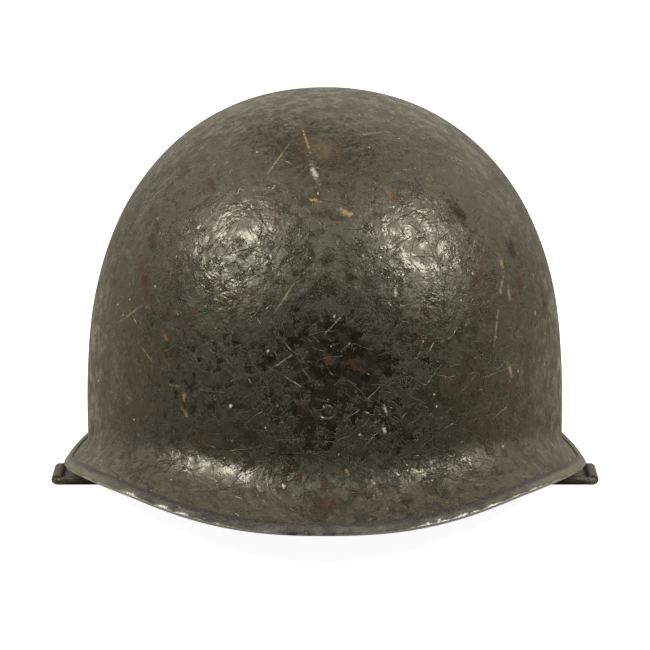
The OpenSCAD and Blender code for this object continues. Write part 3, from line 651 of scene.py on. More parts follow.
@dataclass(frozen=True)
class EdgingSteel:
    """Rolled steel strip whose paint is rubbed off along the fold, down to bright bare metal.

    The map's second direction runs across the strip, so the wear keeps to its lower edge.
    """

    name: str = "worn edging strip steel"
    paint: str = "#242016"
    grime: str = "#20140b"
    pale: str = "#5d5849"
    bare: str = "#c9c6bf"
    width: float = 16.0
    fold_at: float = 0.27
    relief: float = 0.9

    def build(self) -> Material:
        """Makes the material.

        Returns:
            The material.
        """
        material, tree, where = new_material(self.name, Chart.OBJECT)
        chart = add(tree, "TexCoord", take="UV")
        across = add(tree, "SeparateXYZ", {0: chart}, 1)
        across = add(tree, "Math", {0: across, 1: 1000 / self.width}, operation="MULTIPLY")
        patch = add(tree, "TexNoise", {"Vector": where, "Scale": 1 / 9, "Detail": 6.0, "Roughness": 0.65})
        fleck = add(tree, "TexNoise", {"Vector": where, "Scale": 1 / 2.2, "Detail": 4.0, "Roughness": 0.7})
        wide = add(tree, "TexNoise", {"Vector": where, "Scale": 1 / 48, "Detail": 1.0})
        # Distance from the fold, which lies at a quarter of the way round the section
        fold = add(tree, "Math", {0: across, 1: self.fold_at}, operation="SUBTRACT")
        fold = add(tree, "Math", {0: fold}, operation="ABSOLUTE")
        place = add(tree, "SeparateXYZ", {0: where})
        front = add(tree, "MapRange", {0: place.node.outputs[1], 1: -40.0, 2: -100.0})
        aside = add(tree, "Math", {0: place}, operation="ABSOLUTE")
        # Paint paler in random patches, and a painted highlight: the strip is drawn paler towards the sides,
        # where it catches the light
        faded = add(tree, "MapRange", {0: patch, 1: 0.42, 2: 0.68})
        held = add(tree, "MapRange", {0: aside, 1: 78.0, 2: 106.0, 4: 0.75})
        faded = add(tree, "Math", {0: faded, 1: held}, operation="ADD", use_clamp=True)
        aside = add(tree, "MapRange", {0: aside, 1: 12.0, 2: 40.0, 3: 0.3, 4: 1.0})
        rubbed = add(tree, "Math", {0: front, 1: aside}, operation="MULTIPLY")
        rubbed = add(tree, "MapRange", {0: rubbed, 3: 0.0, 4: 0.09})
        shake = add(tree, "MapRange", {0: patch, 1: 0.35, 2: 0.65, 3: -0.035, 4: 0.04})
        rubbed = add(tree, "Math", {0: rubbed, 1: shake}, operation="ADD")
        edge = add(tree, "Math", {0: rubbed, 1: fold}, operation="SUBTRACT")
        bare = add(tree, "MapRange", {0: edge, 1: -0.004, 2: 0.012})
        nicks = add(tree, "MapRange", {0: fleck, 1: 0.66, 2: 0.70, 4: 0.7})
        bare = add(tree, "Math", {0: bare, 1: nicks}, operation="MAXIMUM")
        # Paint colour, including the painted highlight at the sides
        colour = add(tree, "Mix", {0: faded, 6: linear(self.paint), 7: linear(self.pale)}, **RGBA)
        # Grime and rust along the strip's upper edge, where water stands
        torn = add(tree, "Math", {0: patch, 1: -0.12, 2: across}, operation="MULTIPLY_ADD")
        lip = add(tree, "MapRange", {0: torn, 1: 0.055, 2: 0.015, 3: 0.0, 4: 0.95})
        colour = add(tree, "Mix", {0: lip, 6: colour, 7: linear(self.grime)}, **RGBA)
        colour = add(tree, "Mix", {0: bare, 6: colour, 7: linear(self.bare)}, **RGBA)
        metal = add(tree, "Math", {0: bare, 1: 0.9}, operation="MULTIPLY")
        rough = add(tree, "MapRange", {0: bare, 3: 0.40, 4: 0.30})
        height = add(tree, "Math", {0: fleck, 1: wide}, operation="ADD")
        height = add(tree, "Math", {0: bare, 1: -0.3, 2: height}, operation="MULTIPLY_ADD")
        bump = add(tree, "Bump", {"Height": height, "Distance": self.relief * MM, "Strength": 1.0})
        skin = {"Base Color": colour, "Metallic": metal, "Roughness": rough, "Normal": bump}
        add(tree, "OutputMaterial", {"Surface": add(tree, "BsdfPrincipled", skin)})
        return material


@dataclass(frozen=True)
class BlackenedMetal:
    """Brass or steel with a chemical black, rubbed to the metal on its high spots."""

    name: str
    black: str = "#1d1a16"
    metal: str = "#8a7448"
    rubbed: float = 0.5

    def build(self) -> Material:
        """Makes the material.

        Returns:
            The material.
        """
        material, tree, where = new_material(self.name, Chart.OBJECT)
        patch = add(tree, "TexNoise", {"Vector": where, "Scale": 1 / 5, "Detail": 7.0, "Roughness": 0.7})
        fine = add(tree, "TexNoise", {"Vector": where, "Scale": 1 / 0.8, "Detail": 3.0})
        raised = add(tree, "NewGeometry", take="Pointiness")
        edge = add(tree, "MapRange", {0: raised, 1: 0.51, 2: 0.57})
        worn = add(tree, "Math", {0: patch, 1: edge}, operation="ADD")
        worn = add(tree, "MapRange", {0: worn, 1: 0.66, 2: 1.1, 4: self.rubbed})
        colour = add(tree, "Mix", {0: worn, 6: linear(self.black), 7: linear(self.metal)}, **RGBA)
        rough = add(tree, "MapRange", {0: fine, 1: 0.3, 2: 0.7, 3: 0.32, 4: 0.55})
        bump = add(tree, "Bump", {"Height": fine, "Distance": 0.04 * MM, "Strength": 1.0})
        skin = {"Base Color": colour, "Metallic": 0.75, "Roughness": rough, "Normal": bump}
        add(tree, "OutputMaterial", {"Surface": add(tree, "BsdfPrincipled", skin)})
        return material


@dataclass(frozen=True)
class Webbing:
    """Woven cotton tape: ribs along its length, crossed by finer weft threads, faded and soiled."""

    name: str
    thread: str
    faded: str
    soil: str
    rib: float = 1.5
    weft: float = 1.0
    relief: float = 0.22

    def build(self) -> Material:
        """Makes the material.

        Returns:
            The material.
        """
        material, tree, where = new_material(self.name, Chart.CLOTH)
        parts = add(tree, "SeparateXYZ", {0: where})
        ribs = add(tree, "Math", {0: parts.node.outputs[1], 1: TAU / self.rib}, operation="MULTIPLY")
        ribs = add(tree, "Math", {0: ribs}, operation="SINE")
        weft = add(tree, "Math", {0: parts, 1: TAU / self.weft}, operation="MULTIPLY")
        weft = add(tree, "Math", {0: weft}, operation="SINE")
        weave = add(tree, "Math", {0: ribs, 1: weft}, operation="MULTIPLY")
        # Fuzz and dirt follow the piece's own metres: fibres of about 1 mm, patches of about 24 mm
        place = add(tree, "TexCoord", take="Object")
        fuzz = add(tree, "TexNoise", {"Vector": place, "Scale": 900.0, "Detail": 3.0})
        wide = add(tree, "TexNoise", {"Vector": place, "Scale": 42.0, "Detail": 5.0, "Roughness": 0.6})
        light = add(tree, "MapRange", {0: weave, 1: -1.0, 2: 1.0, 3: 0.0, 4: 0.75})
        colour = add(tree, "Mix", {0: light, 6: linear(self.thread), 7: linear(self.faded)}, **RGBA)
        dirt = add(tree, "MapRange", {0: wide, 1: 0.45, 2: 0.68, 4: 0.7})
        colour = add(tree, "Mix", {0: dirt, 6: colour, 7: linear(self.soil)}, **RGBA)
        height = add(tree, "Math", {0: weave, 1: fuzz}, operation="ADD")
        bump = add(tree, "Bump", {"Height": height, "Distance": self.relief * MM, "Strength": 0.8})
        skin = {"Base Color": colour, "Roughness": 0.88, "Sheen Weight": 0.15, "Normal": bump}
        add(tree, "OutputMaterial", {"Surface": add(tree, "BsdfPrincipled", skin)})
        return material


@dataclass(frozen=True)
class Leather:
    """Vegetable-tanned cowhide with a fine grain, darkened and glazed by the wearer's brow."""

    name: str = "russet sweatband leather"
    hide: str = "#5a331c"
    dark: str = "#2e180d"
    pale: str = "#82552f"
    pore: float = 1.1

    def build(self) -> Material:
        """Makes the material.

        Returns:
            The material.
        """
        material, tree, where = new_material(self.name, Chart.OBJECT)
        grain = add(tree, "TexVoronoi", {"Vector": where, "Scale": 1 / self.pore}, feature="DISTANCE_TO_EDGE")
        grain = add(tree, "MapRange", {0: grain, 1: 0.0, 2: 0.18})
        wide = add(tree, "TexNoise", {"Vector": where, "Scale": 1 / 26, "Detail": 6.0, "Roughness": 0.62})
        light = add(tree, "MapRange", {0: wide, 1: 0.35, 2: 0.65})
        colour = add(tree, "Mix", {0: light, 6: linear(self.dark), 7: linear(self.hide)}, **RGBA)
        rub = add(tree, "MapRange", {0: wide, 1: 0.6, 2: 0.75, 4: 0.6})
        colour = add(tree, "Mix", {0: rub, 6: colour, 7: linear(self.pale)}, **RGBA)
        rough = add(tree, "MapRange", {0: wide, 1: 0.3, 2: 0.7, 3: 0.36, 4: 0.58})
        bump = add(tree, "Bump", {"Height": grain, "Distance": 0.12 * MM, "Strength": 0.7})
        skin = add(tree, "BsdfPrincipled", {"Base Color": colour, "Roughness": rough, "Normal": bump})
        add(tree, "OutputMaterial", {"Surface": skin})
        return material


@dataclass(frozen=True)
class Braid:
    """Braided cotton: two sets of strands that cross round a lace, or a twisted sewing thread."""

    name: str
    light: str
    dark: str
    strand: float = 1.1

    def build(self) -> Material:
        """Makes the material.

        Returns:
            The material.
        """
        material, tree, where = new_material(self.name, Chart.CLOTH)
        parts = add(tree, "SeparateXYZ", {0: where})
        waves = []
        for sign in (1.0, -1.0):
            lean = add(tree, "Math", {0: parts.node.outputs[1], 1: sign}, operation="MULTIPLY")
            lean = add(tree, "Math", {0: parts, 1: lean}, operation="ADD")
            lean = add(tree, "Math", {0: lean, 1: TAU / self.strand}, operation="MULTIPLY")
            waves.append(add(tree, "Math", {0: lean}, operation="SINE"))
        braid = add(tree, "Math", {0: waves[0], 1: waves[1]}, operation="MULTIPLY")
        light = add(tree, "MapRange", {0: braid, 1: -1.0, 2: 1.0})
        colour = add(tree, "Mix", {0: light, 6: linear(self.dark), 7: linear(self.light)}, **RGBA)
        bump = add(tree, "Bump", {"Height": braid, "Distance": 0.25 * MM, "Strength": 0.8})
        skin = add(tree, "BsdfPrincipled", {"Base Color": colour, "Roughness": 0.9, "Normal": bump})
        add(tree, "OutputMaterial", {"Surface": skin})
        return material


# Marks on the front of the shell: each row has both ends as x, z, x, z, and the width
MARK_TABLE: dict[str, tuple[tuple[float, ...], ...]] = {
    "#0e0c07": (
        (-58, 125, -12, 139, 0.9), (-34, 123, -14, 131, 0.9),
        # Painted shade: these two rows draw the dark shadow line along the crease where the dome meets its
        # flare
        (-31, 47, 2, 47, 1.2), (-50, 47, -42, 47, 1.2),
    ),
    "#231b12": ((-36, 171, 26, 167, 25.0), (50, 152, 64, 136, 7.0), (86, 118, 80, 128, 8.0)),
    "#5a4c3a": ((-11, 170, 6, 168, 11.0),),
    "#3f2c20": (
        (79, 68, 80, 67, 6.6), (84, 119, 87, 103, 5.6), (66, 121, 63, 109, 4.2),
        (-63, 97, -54, 109, 3.3), (-77, 131, -74, 126, 6.6), (-51, 156, -48, 152, 6.6),
        (-81, 120, -76, 106, 7.5), (11, 88, 15, 86, 8.5), (21, 84, 23, 82, 5.6),
        (-11, 28, 9, 30, 10.3), (29, 152, 30, 151, 2.8),
    ),
    "#493127": (
        (82, 112, 86, 94, 3.3), (97, 103, 99, 87, 3.8), (10, 162, 11, 162, 2.8),
        (-21, 145, -21, 142, 3.3), (-58, 106, -55, 105, 2.8), (0, 91, 3, 88, 7.5),
        (44, 115, 46, 113, 3.2),
    ),
    "#857b60": (
        (78, 117, 76, 106, 1.8), (76, 106, 73, 85, 1.3), (80, 111, 81, 104, 1.3),
        (-14, 172, -29, 156, 1.1), (-93, 90, -78, 105, 1.0), (-82, 87, -74, 79, 1.3),
        (-68, 72, -62, 72, 1.4), (-23, 106, -12, 122, 1.0), (-2, 98, 11, 111, 1.0),
        (-25, 83, -11, 93, 0.9), (-18, 82, -8, 76, 0.9), (12, 173, 29, 173, 1.0),
    ),
    "#97805a": (
        (76, 124, 78, 117, 2.6), (80, 79, 82, 71, 2.2), (-11, 177, -5, 165, 1.3),
        (-8, 152, -1, 151, 1.8), (6, 148, 13, 146, 2.8), (-61, 70, -61, 66, 2.2),
        (-62, 63, -59, 58, 2.0), (9, 41, 10, 39, 2.3),
    ),
    "#7d5032": (
        (26, 155, 30, 151, 2.2), (-78, 103, -77, 103, 2.6), (-70, 94, -68, 91, 2.9),
        (-9, 38, -9, 38, 3.0), (-60, 24, -58, 24, 2.2),
    ),
    "#b5b09c": (
        (-6, 164, -3, 158, 3.2), (30, 120, 30, 113, 1.6), (25, 69, 27, 64, 2.0),
        (25, 59, 26, 56, 2.3),
    ),
}


@dataclass(frozen=True)
class Finishes:
    """Materials of all pieces."""

    paint: Material
    edging: Material
    wire: Material
    laminate: Material
    strap: Material
    cradle: Material
    thread: Material
    lace: Material
    leather: Material
    brass: Material
    steel: Material


def make_finishes() -> Finishes:
    """Makes the materials of all pieces.

    Returns:
        The materials.
    """
    front_marks = tuple(
        (code, tuple(Mark((a, b), (c, d), width) for a, b, c, d, width in rows))
        for code, rows in MARK_TABLE.items()
    )
    shell_paint = WornPaint(
        "worn olive paint on steel",
        marks=front_marks,
        dimple=(1.0, 0.0, 66.8),
        packed_on=(-2.0, -110.0, 87.0),
    )
    wire_paint = WornPaint(
        "worn paint on steel wire",
        sound="#2f2a20",
        rubbed="#5a5346",
        scratched=0.5,
        chipped=1.6,
        satin=0.36,
        relief=0.5,
    )
    laminate = WornPaint(
        "painted resin laminate",
        sound="#3a3823",
        rubbed="#4b4832",
        ground="#2b2a1d",
        scored="#6f6b52",
        flaked=0.5,
        scratched=0.3,
        chipped=0.3,
        rusted=0.0,
        satin=0.55,
        shine=0.5,
        relief=0.6,
    )
    return Finishes(
        paint=shell_paint.build(),
        edging=EdgingSteel().build(),
        wire=wire_paint.build(),
        laminate=laminate.build(),
        strap=Webbing("olive cotton webbing", "#4a4632", "#7b765f", "#2f2a1d").build(),
        cradle=Webbing("khaki cotton webbing", "#7d7350", "#a89c74", "#5b5136").build(),
        thread=Braid("olive sewing thread", "#8a8468", "#57523a", 0.6).build(),
        lace=Braid("braided cotton lace", "#b3a988", "#80765a").build(),
        leather=Leather().build(),
        brass=BlackenedMetal("blackened brass").build(),
        steel=BlackenedMetal("blackened steel", "#23211d", "#6f6a60", 0.4).build(),
    )


# Surfaces shared with the frame's solids


def squircle(angle: Array, power: float) -> Array:
    """Radius of a unit superellipse."""
    return (np.abs(np.cos(angle)) ** power + np.abs(np.sin(angle)) ** power) ** (-1 / power)


def round_about(angle: Array, front: float, side: float, rear: float) -> Array:
    """Value that changes round the helmet, from its front over its sides to its rear."""
    end = np.where(np.sin(angle) < 0, front, rear)
    return side + (end - side) * np.sin(angle) ** 2


@dataclass(frozen=True)
class RimLine:
    """Line of the steel shell's rim."""

    half_width: float = 121.8
    front: float = 140.0
    rear: float = 140.0
    widest_y: float = 15.0
    power: float = 2.47
    temple_height: float = 26.1
    visor_dip: float = 7.8
    temple_y: float = -109.5
    ground_y: float = 58.0
    corner_y: float = -105.0
    lift: float = 1.05488

    def at(self, angle: Array) -> Array:
        """Points of the rim.

        Args:
            angle: Angles round the helmet.

        Returns:
            The points.
        """
        k = squircle(angle, self.power)
        px, py = k * np.cos(angle), k * np.sin(angle)
        half = np.where(py < 0, self.front + self.widest_y, self.rear - self.widest_y)
        y = self.widest_y + half * py
        rise = smooth_step((self.ground_y - y) / (self.ground_y - self.temple_y))
        dip = np.maximum(0, (self.corner_y - y) / (self.front + self.corner_y)) ** 2
        z = self.temple_height * rise - self.visor_dip * dip + self.lift
        return np.stack([self.half_width * px, y, z], axis=-1)


@dataclass(frozen=True)
class DomeSurface:
    """Dome with an upright wall and a flared edge.

    A place on it is an angle round the helmet and a level: 0 at the crown, 1 at the wall's foot and
    2 at the flare's edge. Wall heights are those of the foot above the rim.
    """

    rim: RimLine = field(default_factory=RimLine)
    half_width: float = 110.7
    front: float = 115.5
    rear: float = 127.5
    crown: float = 181.8
    profile_power: float = 2.1
    crown_power: float = 2.87
    plan_power: float = 2.15
    wall_heights: tuple[float, float, float] = (29.0, 15.0, 23.0)

    @property
    def mid_y(self) -> float:
        """Middle of the dome's length."""
        return (self.rear - self.front) / 2

    def foot_height(self, angle: Array) -> Array:
        """Height of the wall's foot above the ground."""
        return self.rim.at(angle)[..., 2] + round_about(angle, *self.wall_heights)

    def foot(self, angle: Array) -> Array:
        """Points of the wall's foot.

        Args:
            angle: Angles round the helmet.

        Returns:
            The points.
        """
        k = squircle(angle, self.plan_power)
        x = self.half_width * k * np.cos(angle)
        y = self.mid_y + (self.rear + self.front) / 2 * k * np.sin(angle)
        return np.stack([x, y, self.foot_height(angle)], axis=-1)

    def edge(self, angle: Array) -> Array:
        """Points of the flare's edge."""
        return self.rim.at(angle)

    def at(self, angle: Array, level: Array) -> Array:
        """Points of the surface.

        Args:
            angle: Angles round the helmet.
            level: Levels.

        Returns:
            The points.
        """
        foot, edge = self.foot(angle), self.edge(angle)
        turn = np.clip(level, 0, 1) * math.pi / 2
        r = np.sin(turn) ** (2 / self.profile_power)
        z = foot[..., 2] + (self.crown - foot[..., 2]) * np.cos(turn) ** (2 / self.crown_power)
        dome = np.stack([foot[..., 0] * r, self.mid_y + (foot[..., 1] - self.mid_y) * r, z], axis=-1)
        # The flare is a curve that starts upright
        fall, out = (foot - edge)[..., 2:], (edge - foot)[..., :2]
        start = foot - np.concatenate([0 * out, 0.55 * fall], axis=-1)
        end = edge + np.concatenate([-0.42 * out, 0.3 * fall], axis=-1)
        brim = bezier(np.clip(level - 1, 0, 1)[..., None], foot, start, end, edge)
        return np.where((level <= 1)[..., None], dome, brim)

    def normal(self, angle: Array, level: Array) -> Array:
        """Outward normals of the surface.

        Args:
            angle: Angles round the helmet.
            level: Levels.

        Returns:
            Vectors of length one.
        """
        step, turn = 0.004, math.radians(0.5)
        low = np.where(level > 1, np.maximum(1, level - step), np.maximum(step, level) - step / 2)
        high = np.where(level > 1, np.minimum(2, level + step), np.minimum(1, level + step))
        shown = np.maximum(level, step / 2)
        around = self.at(angle + turn, shown) - self.at(angle - turn, shown)
        down = self.at(angle, high) - self.at(angle, low)
        normals = unit(np.cross(down, around))
        return np.where((level < step)[..., None], np.array([0.0, 0.0, 1.0]), normals)

    def off(self, angle: Array, level: Array, out: Array) -> Array:
        """Points that stand off the surface by a distance."""
        return self.at(angle, level) + self.normal(angle, level) * np.asarray(out)[..., None]

    def level_at(self, angle: Array, height: Array) -> Array:
        """Level of the dome at which the wall has a height above the ground.

        Args:
            angle: Angles round the helmet.
            height: Heights above the ground.

        Returns:
            The levels.
        """
        foot = self.foot_height(angle)
        share = np.clip((height - foot) / (self.crown - foot), 0, 1)
        return np.arccos(share ** (self.crown_power / 2)) / (math.pi / 2)


@dataclass(frozen=True)
class LinerSurface(DomeSurface):
    """The liner's outside, a little smaller than the steel and with a short flare."""

    half_width: float = 105.9
    front: float = 110.7
    rear: float = 122.7
    crown: float = 180.2
    up: float = 9.0
    drops: tuple[float, float, float] = (9.0, 7.0, 7.0)
    flares: tuple[float, float, float] = (7.0, 0.0, 3.5)

    def foot_height(self, angle: Array) -> Array:
        """Height of the liner wall's foot above the ground."""
        return self.rim.at(angle)[..., 2] + self.up + round_about(angle, *self.drops)

    def edge(self, angle: Array) -> Array:
        """Points of the liner's edge.

        Args:
            angle: Angles round the helmet.

        Returns:
            The points.
        """
        out = round_about(angle, *self.flares) * squircle(angle, 2.0)
        drop = round_about(angle, *self.drops)
        return self.foot(angle) + np.stack([out * np.cos(angle), out * np.sin(angle), -drop], axis=-1)


# Steel shell with its rim strip


@dataclass
class SteelPot:
    """The drawn steel shell, the folded strip round its rim and the hinge plates."""

    finishes: Finishes
    surface: DomeSurface = field(default_factory=DomeSurface)
    sheet: float = 1.1
    uneven: float = 0.22
    band_leg: float = 5.4
    band_thick: float = 0.55
    fit: float = 0.05
    seam: float = 1.2

    def build(self) -> None:
        """Makes the shell and the strip and dresses the hinge plates."""
        self._shell()
        self._band()
        for side in ("left", "right"):
            polished_copy(f"{side}_hinge_plate", f"{side}_hinge_tab", self.finishes.paint, 0.12, "shell")

    def _run(self, angle: Array) -> Array:
        """Length of the flare from the wall's foot to the rim line."""
        return np.linalg.norm(self.surface.edge(angle) - self.surface.foot(angle), axis=-1)

    def _waves(self, points: Array) -> Array:
        """Slight unevenness of hand-worn sheet steel.

        Args:
            points: Points of the surface.

        Returns:
            A value from about -1 to 1 for each.
        """
        dice = np.random.default_rng(19)
        total = np.zeros(len(points))
        for size in (95.0, 70.0, 52.0, 38.0, 30.0, 24.0):
            way = unit(dice.normal(size=3))
            total += np.sin(points @ way * TAU / size + dice.uniform(0, 6.28)) * size / 95
        return total / 2.4

    def _shell(self) -> None:
        """Makes the shell, which ends inside the strip's fold."""
        fold = self.band_thick + self.fit

        def point(angle: Array, level: Array, inside: Array) -> Array:
            """Points of the wall, uneven on the dome and calm towards the rim.

            Args:
                angle: Angles round the helmet.
                level: Levels.
                inside: Whether each point is on the inside.

            Returns:
                The points.
            """
            end = 2 - fold / self._run(angle)
            level = np.where(level > 1, 1 + (level - 1) * (end - 1), level)
            calm = np.clip(1 - (level - 1) / 0.5, 0, 1)
            lift = self.uneven * self._waves(self.surface.at(angle, level)) * calm
            return self.surface.off(angle, level, lift - np.where(inside, self.sheet, 0.0))

        piece = to_object(dome_wall(300, (84, 24), point, (700.0, 500.0)), "steel_pot", self.finishes.paint)
        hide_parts("steel_shell")
        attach(piece, "shell")

    def _section(self) -> Array:
        """Closed outline of the strip.

        Returns:
            Points as (distance from the rim line, distance outwards).
        """
        leg_end, round_off = self.band_leg + 0.1, 0.15
        fold, half = self.band_thick + self.fit, self.sheet / 2
        leg = np.linspace(self.band_leg, fold, 7)
        turn = np.radians(np.linspace(80, -80, 9))
        outer, inner = half + fold, half + self.fit
        lip = [(leg_end - 0.02, self.fit + 0.12), (leg_end, fold - round_off)]
        top = [(d, outer - half) for d in leg]
        bend = [(fold - fold * math.cos(t) ** 0.8, outer * math.sin(t) - half) for t in turn]
        low = [(d, -half - outer) for d in leg[::-1]]
        tail = [(leg_end, round_off - half - outer), (leg_end - 0.02, -half - inner - 0.12)]
        back = [(d, -half - inner) for d in leg]
        hollow = [(fold - self.fit * math.cos(t), inner * math.sin(t) - half) for t in turn[::-1][2:-2]]
        front = [(d, inner - half) for d in leg[::-1]]
        return np.array(lip + top + bend + low + tail + back + hollow + front)

    def _band(self) -> None:
        """Makes the folded strip, with its butt seam at the rear."""
        section = self._section()
        gap = self.seam / 2 / self.surface.rim.half_width
        fold = self.band_thick + self.fit

        def place(u: Array, v: Array) -> Array:
            """Points of the strip.

            Args:
                u: Grid positions along the first direction.
                v: Grid positions along the second direction.

            Returns:
                The points.
            """
            angle = math.pi / 2 + gap + u * (TAU - 2 * gap)
            run, out = section[np.rint(v * len(section)).astype(int) % len(section)].T
            wobble = 0.18 * np.sin(angle * 31) + 0.12 * np.sin(angle * 53 + 1.0)
            run = np.where(run > self.band_leg - 0.6, run + wobble, run)
            base = self.surface.off(angle, 2 - np.maximum(run, fold) / self._run(angle), out)
            before = self.surface.at(angle, np.full_like(angle, 1.94))
            beyond = np.maximum(fold - run, 0.0)
            return base + unit(self.surface.edge(angle) - before) * beyond[:, None]

        shape = mapped_grid(480, len(section), place, (880.0, EdgingSteel.width))
        close_ends(shape)
        piece = to_object(shape, "rim_edging", self.finishes.edging, 50.0)
        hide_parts("rim_band")
        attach(piece, "shell")


# Strap loops and the chin strap


@dataclass
class ChinStrap:
    """The two wire loops, the webbing sewn round them, the strap's free runs and its fittings.

    Routes are (x, z) points of the webbing's middle, written for the left side; sign is 1 on the left
    and -1 on the right.
    """

    finishes: Finishes
    middle_y: float = -3.0
    hinge: Spot = (109.158, 4.6)
    bar: Spot = (125.013, 2.45)
    wire: float = 3.0
    loop_width: float = 23.0
    width: float = 18.8
    thick: float = 0.9
    layer_gap: float = 0.3
    join_x: float = 100.0
    sewn_x: float = 96.5
    bend_span: Spot = (99.0, 118.0)
    end_hinge: Spot = (72.0, 1.95)
    end_wire: float = 2.0
    end_reach: float = 12.0
    # Slack that leaves room for the sewn loop when it swings right under
    hump: tuple[Spot, ...] = (
        (98.2, 0.45), (96.1, 1.2), (94.4, 1.62), (92.8, 1.2), (91.0, 0.55), (89.6, 0.45),
    )

    def build(self) -> None:
        """Makes both sides of the strap."""
        for side, sign in (("left", 1.0), ("right", -1.0)):
            self._bail(side, sign)
            self._sewn_loop(side, sign)
        self._long_run()
        self._over_bar()
        self._short_run()
        polished_copy("strap_buckle", "slide_buckle", self.finishes.brass, 0.18, "buckle")
        polished_copy("strap_tip", "strap_end_tip", self.finishes.brass, 0.08, "liner")
        self._end_loop()

    @property
    def low(self) -> float:
        """Height of the webbing's middle where it lies on the ground."""
        return self.thick / 2

    @property
    def over(self) -> float:
        """Height of the middle of the webbing folded back over the first layer."""
        return self.low + self.thick + self.layer_gap

    def _ribbon(self, route: Route, sign: float, name: str, step: float = 0.6) -> Piece:
        """Makes a flat run of webbing along a route.

        Args:
            route: Points to pass.
            sign: Side of the strap.
            name: Name of the piece.
            step: Distance between its rows.

        Returns:
            The piece.
        """
        flat = np.array(route, dtype=float)
        points = np.stack([flat[:, 0] * sign, np.full(len(flat), self.middle_y), flat[:, 1]], axis=1)
        path = spline(points, step)
        section = strip_section(self.width, self.thick, 10)
        shape = sweep(path, np.array([0.0, 1.0, 0.0]), section, 2 * self.width)
        piece = to_object(shape, name, self.finishes.strap, 60.0)
        path_length(path) * MM
        return piece

    def _wire_loop(
        self, start: Array, along: Array, width: float, reach: float, wire: float, bend: float
    ) -> Shape:
        """Closed wire loop: a hinge bar, two arms and an outer bar.

        Args:
            start: Middle of the hinge bar.
            along: Direction of the arms.
            width: Distance between the arms.
            reach: Distance between the bars.
            wire: Diameter of the wire.
            bend: Radius of the corners.

        Returns:
            The shape in metres.
        """
        side = np.array([0.0, 1.0, 0.0])
        corners = [(bend, -1, 180), (reach - bend, -1, 270), (reach - bend, 1, 0), (bend, 1, 90)]
        route = []
        for far, hand, begin in corners:
            turn = np.radians(np.linspace(begin, begin + 90, 9))
            centre = np.array([far, hand * (width / 2 - bend)])
            route.append(centre + bend * np.stack([np.cos(turn), np.sin(turn)], axis=1))
        flat = np.vstack(route)
        path = start + flat[:, :1] * along + flat[:, 1:] * side
        return sweep(path, np.cross(along, side), round_section(wire / 2, 18), 1.0, closed=True)

    def _bail(self, side: str, sign: float) -> None:
        """Makes one swivelling wire loop.

        Args:
            side: Name of the side.
            sign: Side of the strap.
        """
        start, end = (np.array([sign * x, self.middle_y, z]) for x, z in (self.hinge, self.bar))
        reach = float(np.linalg.norm(end - start))
        shape = self._wire_loop(start, (end - start) / reach, self.loop_width, reach, self.wire, 2.2)
        piece = to_object(shape, f"{side}_wire_loop", self.finishes.wire)
        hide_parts(f"{side}_bail")
        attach(piece, f"{side}_loop")

    def _bend(self, piece: Piece) -> None:
        """Bakes a piece of the sewn webbing or its stitching in place and attaches it to the shell.

        Args:
            piece: Webbing or stitching.
        """
        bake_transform(piece)
        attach(piece, "shell")

    def _sewn_loop(self, side: str, sign: float) -> None:
        """Makes the webbing that goes round a loop's outer bar and is sewn to itself.

        Args:
            side: Name of the side.
            sign: Side of the strap.
        """
        (x, z), low, high = self.bar, self.low, self.low + self.thick
        radius = self.wire / 2 + 0.05 + self.thick / 2
        turns = np.radians([-90, -50, -10, 30, 70, 110, 150])
        route = [(self.join_x, low), (108.0, low), (116.0, low), (121.0, low)]
        route += [(x + radius * math.cos(t), z + radius * math.sin(t)) for t in turns]
        route += [(122.75, 2.35), (121.7, 1.62), (119.6, high + 0.05), (113.0, high), (105.0, high)]
        route += [(self.sewn_x, high)]
        piece = self._ribbon(route, sign, f"{side}_sewn_loop")
        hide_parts(f"{side}_strap_loop")
        self._bend(piece)
        seam = self._box_stitch(f"{side}_loop_stitching", sign, (self.sewn_x + 1.6, 109.5), 2 * self.thick)
        self._bend(seam)

    def _box_stitch(self, name: str, sign: float, span: Spot, top: float) -> Piece:
        """Sews a rectangle with a cross in it through both layers.

        Args:
            name: Name of the piece.
            sign: Side of the strap.
            span: Near and far end along X.
            top: Height of the webbing's upper face.

        Returns:
            The piece.
        """
        inset, pitch, sunk = 2.0, 2.1, 0.22
        half = self.width / 2 - inset
        x0, x1 = span
        corners = np.array([(x0, -half), (x1, -half), (x1, half), (x0, half), (x0, -half), (x1, half)])
        places, ways, outs = [], [], []
        for a, b in list(zip(corners[:-1], corners[1:])) + [(corners[1], corners[3])]:
            count = max(3, int(np.linalg.norm(b - a) / pitch))
            for k in range(count):
                x, y = a + (b - a) * (k + 0.5) / count
                for height, up in ((top + 0.02, 1.0), (sunk, -1.0)):
                    places.append((sign * x, self.middle_y + y, height))
                    ways.append((sign * (b - a)[0], (b - a)[1], 0.0))
                    outs.append((0.0, 0.0, up))
        shape = stitches(np.array(places), np.array(ways), np.array(outs), (1.7, 0.55, 0.42))
        piece = to_object(shape, name, self.finishes.thread)
        return piece

    def _long_run(self) -> None:
        """Makes the long run: in along the ground, folded back over itself and through the buckle."""
        low, over = self.low, self.over
        route = [(self.join_x + 0.6, low), *self.hump]
        route += [(x, low) for x in (86, 60, 30, 0, -20, -28)]
        route += [(-31, low + 0.5), (-33, low + 1.6), (-32.6, low + 3.0), (-30.8, low + 3.5)]
        route += [(-27, low + 3.1), (-20, over + 0.6), (-8, over), (10, over), (56, over), (75.6, over)]
        piece = self._ribbon(route, 1.0, "long_strap", 0.8)
        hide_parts("left_strap")
        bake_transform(piece)
        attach(piece, "shell")

